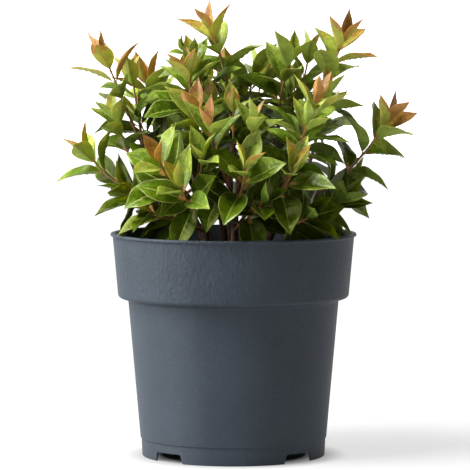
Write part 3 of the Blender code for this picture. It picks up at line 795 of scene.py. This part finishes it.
def planSpray(number, host, dice):
    look = sprayLook
    way = host.shoot.path.way(host.distance)
    lean = look.lean + dice.uniform(-look.leanSpread, look.leanSpread)
    start = host.foot + host.facing * look.lift * mm
    startWay = (way * (1 - lean) + host.way * lean + host.facing * look.facing).normalized()
    rising = (startWay + upward * look.startRise).normalized()
    end = start + rising * dice.uniform(*look.lengths) * mm
    path = Path(start, startWay, end, (startWay + upward * look.endRise).normalized())
    name = f"{host.shoot.name}_spray_{number}"
    turn, scale = dice.uniform(0, 180), dice.uniform(*look.scales)
    return Shoot(name, path, 0.0, look.radius, turn, scale, host.shoot.mass)


def growSprays():
    look = sprayLook
    dice = random.Random(look.seed)
    hosts = [leaf for leaf in leaves if leaf.rank >= look.firstRank]
    dice.shuffle(hosts)
    sprays, small = [], []
    for number, host in enumerate(hosts[: look.tries]):
        spray = planSpray(number, host, dice)
        beyondAxil = [look.axil * mm, spray.path.length]
        if crowd.touchedBy(tube(spray.path, beyondAxil, *look.twigRoom, 4)):
            continue
        blades = [Leaf(spray, rank, side) for rank in range(look.ranks) for side in (0, 1)]
        main = mainPaths[spray.mass]
        blades = [blade for blade in blades if placed(blade, main, crowd, look.room, rooted=False)]
        if len(blades) > 1:
            sprays.append(spray)
            small += blades
            for blade in blades:
                crowd.add(blade.roomFrom(*growth.mostOfLeaf, look.room), spray.mass)
    return sprays, small


sprays, smallLeaves = growSprays()
print(len(sprays), "sprays,", len(smallLeaves), "small leaves")


# gathers grids of points and quads and makes one piece of them
class Batch:
    def __init__(self):
        self.points, self.quads, self.slots, self.count = [], [], [], 0

    def add(self, points, quads, slots):
        self.points.append(points)
        self.quads.append(quads + self.count)
        self.slots.append(slots)
        self.count += len(points)

    def piece(self, name, materials):
        points, quads, slots = map(np.concatenate, (self.points, self.quads, self.slots))
        return meshPiece(name, points.tolist(), quads.tolist(), materials, slots)


# Leaf colours: young pairs are bronze and olive, older ones green. Each is a plain base colour, dealt out
# blade by blade, with blotches where one tint runs into the next; blades low down and in the heart of the
# crown are dealt darker tints as painted shade, and those at the top lighter ones as painted light. A row
# gives the colour, the tint of the underside and, where how old the leaf is doesn't decide it, the tint of
# the rib.
tints = {
    "rose": ((0.255, 0.114, 0.045), "underWarm", "ribWarm"),
    "bronze": ((0.255, 0.133, 0.026), "underWarm", "ribWarm"),
    "amber": ((0.330, 0.230, 0.040), "underOlive", "ribWarm"),
    "olive": ((0.335, 0.318, 0.048), "underOlive", "ribPale"),
    "fresh": ((0.262, 0.318, 0.048), "underFresh", "ribPale"),
    "spring": ((0.180, 0.246, 0.028), "underFresh", None),
    "green": ((0.083, 0.143, 0.006), "underGreen", None),
    "moss": ((0.053, 0.092, 0.003), "underGreen", None),
    "deep": ((0.030, 0.056, 0.002), "underDark", None),
    "dark": ((0.014, 0.027, 0.0015), "underDark", None),
}
plainTints = {
    "underWarm": (0.40, 0.195, 0.060), "underOlive": (0.34, 0.35, 0.065), "underFresh": (0.26, 0.345, 0.062),
    "underGreen": (0.135, 0.205, 0.022), "underDark": (0.064, 0.108, 0.011), "ribWarm": (0.38, 0.22, 0.06),
    "ribPale": (0.19, 0.235, 0.028), "ribGreen": (0.105, 0.155, 0.015), "edgePale": (0.19, 0.22, 0.065),
    "stalk": (0.29, 0.155, 0.035),
}
# a finish gives its bright tints and its dim ones a specular level and tint each
brightFrom = 0.1
upperFinish = Look(
    rough=0.36, coat=0.05, clouds=150, grain=600, cloudShare=0.5, edges=(0.4, 0.6),
    shades=(0.72, 1.26), roughFrom=0.25, roughMore=0.18, pores=1700, relief=0.0002,
    bright=(0.34, (1, 1, 0.8, 1)), dim=(0.22, (1, 1, 0.15, 1)),
)
# undersides, ribs, margins and stalks
plainFinish = Look(
    rough=0.5, coat=0, clouds=160, grain=900, cloudShare=0.7, edges=(0.36, 0.64),
    shades=(0.8, 1.16), roughFrom=0.44, roughMore=0.14, pores=None,
    bright=(0.25, (1, 1, 1, 1)), dim=(0.25, (1, 1, 1, 1)),
)
# thin blades let some light through
leafGlow = {"Subsurface Weight": 0.25, "Subsurface Radius": (1.0, 0.85, 0.2), "Subsurface Scale": 0.001}


def paintLeaf(name, colour, finish):
    paint = Paint(f"leaf{name[0].upper()}{name[1:]}", colour, finish.rough, finish.coat)
    cloud, grain = paint.speckle(finish.clouds, 3), paint.speckle(finish.grain, 2)
    share = paint.ramp(cloud * finish.cloudShare + grain * (1 - finish.cloudShare), *finish.edges)
    low, high = (scaled(colour, factor) for factor in finish.shades)
    paint.put("Base Color", paint.blendColour(share, low, high))
    paint.put("Roughness", finish.roughFrom + grain * finish.roughMore)
    level, shine = finish["bright" if max(colour) > brightFrom else "dim"]
    paint.put("Specular IOR Level", level)
    paint.put("Specular Tint", shine)
    if finish.pores:
        paint.bump(grain + paint.speckle(finish.pores, 1) * 0.5, 0.3, finish.relief)
    for key, value in leafGlow.items():
        paint.put(key, value)
    return paint.material


leafPaints = {name: paintLeaf(name, colour, upperFinish) for name, (colour, _, _) in tints.items()}
leafPaints.update({name: paintLeaf(name, colour, plainFinish) for name, colour in plainTints.items()})
leafSlots = {name: number for number, name in enumerate(leafPaints)}


# how a blade changes tint from its root to its tip: (share of the length, tint) steps
tintRuns = {
    "bronze": ((0, "amber"), (0.3, "bronze"), (0.72, "rose")),
    "rosy": ((0, "bronze"), (0.35, "rose"), (0.8, "bronze")),
    "amber": ((0, "olive"), (0.38, "amber"), (0.72, "bronze")),
    "olive": ((0, "fresh"), (0.35, "olive"), (0.85, "amber")),
    "fresh": ((0, "spring"), (0.3, "fresh"), (0.85, "olive")),
    "spring": ((0, "green"), (0.35, "spring"), (0.8, "fresh")),
    "green": ((0, "moss"), (0.3, "green"), (0.75, "spring")),
    "moss": ((0, "deep"), (0.35, "moss"), (0.8, "green")),
    "deep": ((0, "dark"), (0.2, "deep"), (0.7, "moss")),
    "dark": ((0, "dark"), (0.65, "deep")),
}
# main shoots whose tip isn't an olive one
tipKinds = {
    "bronzeTip": (
        "left_high", "centre_high", "right_high", "right_mid", "front_right_high", "back_high",
        "back_left_high",
    ),
    "smallBronze": ("front_high", "front_left_mid", "front_left_high", "front_inner_high", "back_right_mid"),
    "greenTip": ("back_right_high", "centre_mid", "back_left_mid"),
}
# the runs that a pair may take, step by step from the bud down; the step is the pair's rank plus its painted
# shade
ages = {
    "spray": "fresh spring, spring green, green moss, moss, deep",
    "low": "fresh, spring, green, green moss, moss deep, deep, dark deep",
    "greenTip": "fresh, fresh, fresh spring, spring, green, green moss, moss, deep moss, deep, dark deep",
    "oliveTip": (
        "amber olive, olive fresh, fresh, spring, spring green, green moss, "
        "moss, deep moss, deep, dark deep"
    ),
    "smallBronze": (
        "bronze rosy, olive amber, fresh spring, spring green, green, green moss, "
        "moss, moss deep, deep, dark deep"
    ),
    "bronzeTip": (
        "bronze rosy, amber bronze amber, olive fresh, fresh spring, spring, green spring, "
        "green moss, moss, deep moss, deep"
    ),
}
# where the painted shade falls and how strongly: tints are dealt darker as shade, and lighter at the top as
# light
paintedShadeSteps = Look(
    lightFrom=270, fall=46, lightest=-1, heart=192, heartHeight=125, heartReach=108,
    heartEdge=1.08, inner=7.3, chance=0.8, secondShare=0.7, secondChance=0.6,
)


# painted shade and light: how many steps darker the blades are painted, low down and in the heart of the
# crown, and lighter at the top
def shade(spot):
    look = paintedShadeSteps
    height, reach = spot.z / mm, math.hypot(spot.x, spot.y) / mm
    away = math.hypot((height - look.heart) / look.heartHeight, reach / look.heartReach)
    low = max(look.lightest, (look.lightFrom - height) / look.fall)
    return low + look.inner * max(0, look.heartEdge - away)


def tintRun(leaf, dice):
    name = leaf.shoot.name
    if "spray" in name:
        kind = "spray"
    elif leaf.shoot.mass.endswith("low"):
        kind = "low"
    elif "side" in name:
        kind = dice.choice(("greenTip", "oliveTip", "low"))
    else:
        kind = next((kind for kind, masses in tipKinds.items() if leaf.shoot.mass in masses), "oliveTip")
    # a blade's step is its rank plus its painted shade: darker low down and in the heart of the crown,
    # lighter at the top
    ageAndShade = leaf.rank
    if leaf.rank > 1 or kind in ("low", "spray"):
        ageAndShade += math.floor(shade(leaf.foot) + dice.random() * paintedShadeSteps.chance)
    elif leaf.rank == 1:
        secondPairShade = shade(leaf.foot) * paintedShadeSteps.secondShare + dice.random() * paintedShadeSteps.secondChance
        ageAndShade += max(0, math.floor(secondPairShade))
    stages = ages[kind].split(", ")
    return dice.choice(stages[min(max(ageAndShade, 0), len(stages) - 1)].split())


# One blade: a grid of rows from foot to tip and columns from margin to margin, with an underside
leafLook = Look(
    rows=26, smallRows=10, smallLength=22,
    columns=(-1, -0.94, -0.7, -0.38, -0.05, 0.05, 0.38, 0.7, 0.94, 1),
    grownRank=5, petiole=0.075, petioleHalf=0.5, petioleOf=45, margin=0.03,
    belly=0.86, bellyGrown=0.1, bellySpread=(-0.06, 0.05), fullness=0.9, fuller=0.16, fullSpread=0.08,
    taper=0.36, taperFrom=0.7, taperTo=0.98, halfWidth=0.545, youngWider=0.07,
    thick=0.42, youngThick=0.6, rimThinner=0.55, rootThick=0.5, rootTo=0.14,
    deeper=0.5, foldSpread=0.2, tipFlatter=0.25, ribRound=0.012, ribDip=0.11, ribSpan=0.896,
    cup=30, cupRange=(0.3, 1.1), cupRanks=2,
    arch=0.16, archYoung=0.3, archRange=(0.4, 1.3), archPower=2.5, twist=13, twistPace=1.6,
    veins=7.5, veinSlant=0.9, veinWidth=0.2, veinDepth=0.075, swell=0.07, swellPaces=(6, 3.2),
    ripple=0.08, ripplePace=13, rippleShift=2.1, uneven=0.3, droop=0.03, sway=0.035,
    flush=0.1, flushRanks=3, flushMiddle=0.45, youngMargin=0.75, blotch=0.36, blotchPaces=(0.16, 0.42),
    ribEnd=0.86, edgeRank=2, edgeChance=0.55,
)


def smoothStep(value, low, high):
    share = np.clip((value - low) / (high - low), 0, 1)
    return share * share * (3 - 2 * share)


def along(values, way):
    return values[..., None] * np.array(way)


# the blade's bent centre line, and which way it faces there; the young pairs cup round their bud
def bladeLine(leaf, share):
    look = leafLook
    cup = look.cup * random.Random(f"cup {leaf.shoot.name}").uniform(*look.cupRange)
    bend = leaf.bend - math.radians(cup) * max(0, 1 - leaf.rank / look.cupRanks)
    bend = bend if abs(bend) > 0.02 else 0.02
    angle = bend * share
    way, facing = np.array(leaf.way), np.array(leaf.facing)
    bent = way * (np.sin(angle) / bend) - facing * ((1 - np.cos(angle)) / bend)
    return np.array(leaf.foot) + bent * leaf.length, facing * np.cos(angle) + way * np.sin(angle)


# top and bottom points, with each row's share of the blade beyond its stalk
def bladePoints(leaf, rows, dice):
    look = leafLook
    grown = min(1, leaf.rank / look.grownRank)
    share = np.linspace(0, 1, rows)[:, None]
    out = np.array(look.columns)[None, :]
    centre, up = bladeLine(leaf, share)
    blade = np.clip((share - look.petiole) / (1 - look.petiole), 0, 1)
    belly = look.belly + look.bellyGrown * grown + dice.uniform(*look.bellySpread)
    fullness = look.fullness - look.fuller * grown + look.fullSpread * dice.random()
    tip = 1 - look.taper * smoothStep(blade, look.taperFrom, look.taperTo)
    shape = np.sin(np.pi * blade**belly) ** fullness * tip
    stalk = look.petioleHalf * mm * (leaf.length / (look.petioleOf * mm)) ** 0.5
    half = leaf.width * (look.halfWidth + look.youngWider * (1 - grown)) * shape
    half = half + stalk * (1 - blade) ** 0.6 + look.margin * mm
    fold = leaf.fold * (1 - look.tipFlatter * blade)
    fold = fold * (1 + look.deeper * grown + look.foldSpread * dice.random())
    vee = (np.sqrt(out * out + look.ribRound) - look.ribDip) / look.ribSpan
    phase = dice.uniform(0, 6)
    curl = look.arch * (look.archYoung + grown) * dice.uniform(*look.archRange)
    uneven = look.uneven * dice.uniform(-1, 1)
    twist = math.radians(look.twist * dice.uniform(-1, 1))
    away, (lengthwise, across) = np.abs(out), look.swellPaces
    lift = half * (np.sin(fold * (1 + uneven * np.sign(out))) * vee - curl * away**look.archPower)
    lift = lift + half * out * np.sin(twist * share * look.twistPace) - leaf.length * look.droop * share**3
    swell = np.sin(blade * lengthwise + phase) * np.sin(out * across + phase * 2)
    ripple = np.sin(blade * look.ripplePace + phase + (out > 0) * look.rippleShift)
    lift = lift + half * (look.swell * swell + look.ripple * grown * ripple * out * out)
    between = (blade * look.veins - away * look.veinSlant + phase) % 1 - 0.5
    vein = np.exp(-((between / look.veinWidth) ** 2)) * (1 - away**4) * np.sin(np.pi * blade)
    lift = lift - half * look.veinDepth * vein
    side = half * out * np.cos(fold) + leaf.length * look.sway * dice.uniform(-1, 1) * share * share
    middle = centre[:, None, :] + along(side, leaf.across) + up[:, None, :] * lift[..., None]
    thick = look.thick * mm * (look.youngThick + (1 - look.youngThick) * grown) * (1 - look.rimThinner * away)
    thick = thick + look.rootThick * mm * (1 - smoothStep(share, 0, look.rootTo)) * (1 - away)
    offset = up[:, None, :] * (thick / 2)[..., None]
    points = np.concatenate([(middle + offset).reshape(-1, 3), (middle - offset).reshape(-1, 3)])
    return points, blade[:, 0], phase


# upper side, underside, both margins, root and tip
def bladeQuads(rows, width):
    grid = np.arange(rows * width).reshape(rows, width)
    under = rows * width
    corners = [grid[:-1, :-1], grid[1:, :-1], grid[1:, 1:], grid[:-1, 1:]]
    upper = np.stack([corner.ravel() for corner in corners], 1)
    lower = upper[:, [0, 3, 2, 1]] + under

    def wall(first, second):
        return np.stack([first, first + under, second + under, second], 1)

    margins = [wall(grid[:-1, 0], grid[1:, 0]), wall(grid[1:, -1], grid[:-1, -1])]
    ends = [wall(grid[0, 1:], grid[0, :-1]), wall(grid[-1, :-1], grid[-1, 1:])]
    return np.concatenate([upper, lower, *margins, *ends])


# the material slot of every quad, in the same order
def bladeSlots(leaf, blade, phase, dice):
    look = leafLook
    columns = np.array(look.columns)
    rows, width = len(blade), len(columns)
    steps = tintRuns[tintRun(leaf, dice)]
    young = max(0, 1 - leaf.rank / look.flushRanks)
    outward = np.abs(columns[:-1] + columns[1:]) / 2 - look.flushMiddle
    down, aside = look.blotchPaces
    share = blade[:-1, None] + look.youngMargin * young * outward[None, :]
    share = share + look.blotch * np.array([
        [noise.noise(Vector((row * down, column * aside, phase * 9))) for column in range(width - 1)]
        for row in range(rows - 1)
    ])
    root = steps[0][1]
    upper = np.full(share.shape, leafSlots[root])
    lower = np.full(share.shape, leafSlots[tints[root][1]])
    for low, tint in steps[1:]:
        upper[share > low] = leafSlots[tint]
        lower[share > low] = leafSlots[tints[tint][1]]
    _, under, rib = tints[steps[1][1]]
    rib = rib or ("ribPale" if leaf.rank < look.grownRank else "ribGreen")
    middle, stalk = width // 2 - 1, leafSlots["stalk"]
    upper[: int(rows * look.ribEnd), middle] = leafSlots[rib]
    edged = leaf.rank >= look.edgeRank and dice.random() < look.edgeChance
    if edged:
        upper[2:, 0] = upper[2:, -1] = leafSlots["edgePale"]
    upper[blade[:-1] < 0.02, :] = stalk
    upper[blade[:-1] < look.flush, middle - 1 : middle + 2] = stalk
    lower[:, middle] = leafSlots["ribWarm" if rib == "ribWarm" else "ribPale"]
    lower[blade[:-1] < 0.02, :] = stalk
    rim = leafSlots[under]
    margins = np.full(2 * (rows - 1), leafSlots["edgePale"] if edged else rim)
    ends = np.repeat([stalk, rim], width - 1)
    return np.concatenate([upper.ravel(), lower.ravel(), margins, ends])


def addBlade(batch, leaf):
    look = leafLook
    dice = random.Random(f"fine {leaf.shoot.name} {leaf.rank} {leaf.side}")
    rows = look.smallRows if leaf.length < look.smallLength * mm else look.rows
    points, blade, phase = bladePoints(leaf, rows, dice)
    batch.add(points, bladeQuads(rows, len(look.columns)), bladeSlots(leaf, blade, phase, dice))


# the stems whose leaves each piece holds
sectors = {
    "leavesLeft": ("left", "front_left", "back_left"),
    "leavesMiddle": ("front_inner", "front", "centre", "back"),
    "leavesRight": ("front_right", "right", "back_right"),
}


def massesOf(stemNames):
    return [f"{name}_{part}" for name in stemNames for part in crown[name][1]]


def buildLeaves():
    for name, stemNames in sectors.items():
        masses = massesOf(stemNames)
        batch = Batch()
        for leaf in leaves + smallLeaves:
            if leaf.shoot.mass in masses:
                addBlade(batch, leaf)
        piece = batch.piece(name, list(leafPaints.values()))
        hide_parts(*(f"foliage_{mass}" for mass in masses))
        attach(piece, "root")
        print(name, sum(len(quads) for quads in batch.quads) * 2, "triangles")


buildLeaves()


# Twigs: round, swollen where the leaf pairs stand, red when young and brown below
twigLook = Look(
    sides=10, step=1.5, swell=0.34, swellReach=1.5, tip=0.62, foot=1.36,
    bud=((1.56, 0.8), (1.04, 0)), point=0.05, sink=2.6, sunkFoot=1.5,
    youngTo=34, ruddyTo=62, streaks=500, shades=(0.75, 1.3), relief=0.0003,
)
twigTints = {"young": (0.23, 0.125, 0.035), "ruddy": (0.18, 0.075, 0.030), "brown": (0.105, 0.050, 0.025)}
twigSlots = {name: number for number, name in enumerate(twigTints)}


def paintTwig(name, colour):
    paint = Paint(f"twig{name.capitalize()}", colour, 0.55)
    streak = paint.speckle(twigLook.streaks, 3, stretch=(1, 1, 0.25))
    low, high = (scaled(colour, factor) for factor in twigLook.shades)
    paint.put("Base Color", paint.blendColour(streak, low, high))
    paint.put("Roughness", 0.42 + streak * 0.25)
    paint.bump(streak, 0.4, twigLook.relief)
    return paint.material


# rings of points round a line, each turned as little as it can be from the one before
def ringGrid(line, radii, sides, relief=None):
    line = [Vector(p) for p in line]
    ways = [(line[min(i + 1, len(line) - 1)] - line[max(i - 1, 0)]).normalized() for i in range(len(line))]
    level, _ = squareTo(ways[0])
    grid = []
    for centre, way, radius in zip(line, ways, radii):
        level = (level - way * level.dot(way)).normalized()
        rise = way.cross(level)
        for side in range(sides):
            out = swung(level, rise, math.tau * side / sides)
            more = relief(centre + out * radius) if relief else 0
            grid.append(centre + out * (radius + more))
    points = np.array([tuple(p) for p in grid])
    start = np.arange((len(line) - 1) * sides)
    ahead = np.where(start % sides == sides - 1, start + 1 - sides, start + 1)
    return points, np.stack([start, ahead, ahead + sides, start + sides], 1)


def addTwig(batch, shoot):
    look = twigLook
    length, foot = shoot.path.length, shoot.foot
    count = max(4, int((length - foot) / (look.step * mm)))
    places = [foot + (length - foot) * k / count for k in range(count + 1)]
    pairs = [length - shoot.rankDistance(rank) for rank in shoot.ranks()]
    thickest = look.foot * shoot.radius / growth.twig
    line, radii, slots = [], [], []
    if shoot.name == shoot.mass and shoot.mass.endswith("low"):
        line.append(shoot.path.at(0) - shoot.path.way(0) * look.sink * mm)
        radii.append(thickest * look.sunkFoot * mm)
        slots.append(twigSlots["brown"])
    for place in places:
        share = (place - foot) / (length - foot)
        radius = thickest + (look.tip * shoot.scale**0.5 - thickest) * share
        near = min((abs(place - pair) for pair in pairs), default=1)
        radius *= 1 + look.swell * math.exp(-((near / (look.swellReach * mm)) ** 2))
        line.append(shoot.axis(place))
        radii.append(radius * mm)
        ruddy = "ruddy" if length - place < look.ruddyTo * mm else "brown"
        young = length - place < look.youngTo * mm * shoot.scale
        slots.append(twigSlots["young" if young else ruddy])
    for rise, share in look.bud:
        line.append(line[-1] + shoot.path.way(length) * rise * mm * shoot.scale)
        radii.append(max(radii[-1] * share, look.point * mm))
        slots.append(twigSlots["young"])
    points, quads = ringGrid(line, radii, look.sides)
    batch.add(points, quads, np.repeat(slots[:-1], look.sides))


def buildTwigs():
    batch = Batch()
    for shoot in shoots + sprays:
        addTwig(batch, shoot)
    twigs = batch.piece("twigs", [paintTwig(name, colour) for name, colour in twigTints.items()])
    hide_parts(*(f"foliage_{mass}" for mass in massesOf(crown)))
    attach(twigs, "root")


buildTwigs()
print("leaves and twigs grown")


# Stems and boughs, with the relief of their bark
barkLook = Look(
    sides=16, step=0.7, relief=0.32, fissures=520, scales=1300, stretch=0.22,
    flare=1.6, flareFall=2.727, beyond=2, before={"stem": 3, "high": 1, "mid": 5},
    strips=260, patches=90, bump=0.0006,
    colour=(0.098, 0.048, 0.024), paleColour=(0.20, 0.112, 0.058), darkColour=(0.034, 0.018, 0.011),
)


def paintBark():
    look = barkLook
    paint = Paint("stemBark", look.colour, 0.8)
    strips = paint.speckle(look.strips, 4, stretch=(1, 1, 0.16))
    patches = paint.speckle(look.patches, 3)
    base = paint.blendColour(paint.ramp(strips, 0.38, 0.66), look.darkColour, look.colour)
    paint.put("Base Color", paint.blendColour(paint.ramp(patches, 0.5, 0.72), base, look.paleColour))
    paint.put("Roughness", 0.68 + strips * 0.25)
    paint.bump(strips + patches * 0.4, 0.7, look.bump)
    return paint.material


def barkRelief(spot):
    look = barkLook
    fissures = noise.noise(Vector((spot.x, spot.y, spot.z * look.stretch)) * look.fissures)
    return (fissures + 0.5 * noise.noise(spot * look.scales)) * look.relief * mm


# a tapering limb, drawn out a few steps past both ends so that it meets what it grows from and into
def addLimb(batch, path, end, radii, part, flare=0):
    look = barkLook
    count = max(6, int(end / (look.step * mm)))
    line, sizes = [], []
    for step in range(-look.before[part], count + look.beyond + 1):
        place = end * step / count
        inside = min(max(place, 0), path.length)
        share = min(max(step / count, 0), 1)
        size = radii[0] + (radii[1] - radii[0]) * share
        size += flare * math.exp(-max(place, 0) / (look.flareFall * mm))
        line.append(path.at(inside) + path.way(inside) * (place - inside))
        sizes.append(size * mm)
    points, quads = ringGrid(line, sizes, look.sides, barkRelief)
    batch.add(points, quads, np.zeros(len(quads)))


def buildLimbs():
    batch = Batch()
    for _, path in stems:
        addLimb(batch, path, path.length, (growth.stem, growth.stemTip), "stem", barkLook.flare)
    for name, path, end in boughs:
        addLimb(batch, path, end, (growth.bough, growth.boughTip), name.split("_")[-1])
    limbs = batch.piece("limbs", [paintBark()])
    nodes = [f"stem_{name}" for name, _ in stems] + [f"bough_{name}" for name, _, _ in boughs]
    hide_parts(*nodes)
    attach(limbs, "root")


buildLimbs()
print("limbs grown")


# Floor, light and camera
studio = Look(
    world=0.04, floorColour=(0.14, 0.14, 0.14), floorGlow=0.69, backdrop=1.02,
    footShade=(0.055, 0.088), sun=5.4, sunAngle=26, sunWay=(0.85, 0.44, -1.7),
    panels={
        "leftPanel": ((-2.0, -0.38, 0.95), (0, 0, 0.2), (2.2, 2.0), 105),
        "frontPanel": ((-1.3, -1.5, 2.0), (0, 0, 0.25), (1.1, 1.1), 8),
        "rightPanel": ((1.9, -0.5, 0.6), (0, 0, 0.2), (0.9, 1.4), 3.2),
    },
)
photoView = Look(
    eye=(0, -2.5, 0.345), target=(0, 0, 0.1701), lens=248.7, sensor=36, shift=1.56 / 470,
    far=50,
)


def aimed(name, data, place, way):
    thing = bpy.data.objects.new(name, data)
    thing.location = place
    thing.rotation_euler = Vector(way).to_track_quat("-Z", "Y").to_euler()
    scene.collection.objects.link(thing)
    return thing


def addLights():
    for name, (place, target, size, power) in studio.panels.items():
        light = bpy.data.lights.new(name, "AREA")
        light.shape = "RECTANGLE"
        light.size, light.size_y = size
        light.energy = power
        aimed(name, light, place, Vector(target) - Vector(place))
    sun = bpy.data.lights.new("softKey", "SUN")
    sun.energy, sun.angle = studio.sun, math.radians(studio.sunAngle)
    aimed("softKey", sun, (0, 0, 0), studio.sunWay)
    scene.world = bpy.data.worlds.new("studioWorld")
    scene.world.use_nodes = True
    sky = scene.world.node_tree.nodes["Background"].inputs
    sky["Color"].default_value = (1, 1, 1, 1)
    sky["Strength"].default_value = studio.world


def buildStudio():
    grey = studio.floorColour
    floorPaint = Paint("paleFloor", grey, 0.9)
    floorPaint.put("Base Color", floorPaint.blendColour(floorPaint.speckle(3, 2), scaled(grey, 0.995), grey))
    # painted contact shadow: the floor's glow fades to black round the pot's foot
    lengthOf = {"operation": "LENGTH"}
    around = floorPaint.make("ShaderNodeVectorMath", lengthOf, {0: floorPaint.place()}, "Value")
    clear = floorPaint.ramp(around, *studio.footShade)
    floorPaint.put("Emission Color", floorPaint.blendColour(clear, (0, 0, 0), (1, 1, 1)))
    floorPaint.put("Emission Strength", studio.floorGlow)
    points = [(-6, -6, 0), (6, -6, 0), (6, 6, 0), (-6, 6, 0)]
    floor = meshPiece("floor", points, [(0, 1, 2, 3)], [floorPaint.material], smooth=False)
    backPaint = Paint("paleBackdrop", (1, 1, 1), 1.0)
    backPaint.put("Emission Color", (1, 1, 1, 1))
    backPaint.put("Emission Strength", studio.backdrop)
    points = [(-3, 5, 0), (3, 5, 0), (3, 5, 2.5), (-3, 5, 2.5)]
    backdrop = meshPiece("backdrop", points, [(0, 3, 2, 1)], [backPaint.material], smooth=False)


def buildCamera():
    camera = bpy.data.cameras.new("photoCamera")
    camera.lens, camera.sensor_width = photoView.lens, photoView.sensor
    camera.shift_x, camera.clip_end = photoView.shift, photoView.far
    way = Vector(photoView.target) - Vector(photoView.eye)
    scene.camera = aimed("photoCamera", camera, photoView.eye, way)


buildStudio()
addLights()
buildCamera()
scene.view_settings.view_transform = "Standard"
scene.view_settings.look = "None"
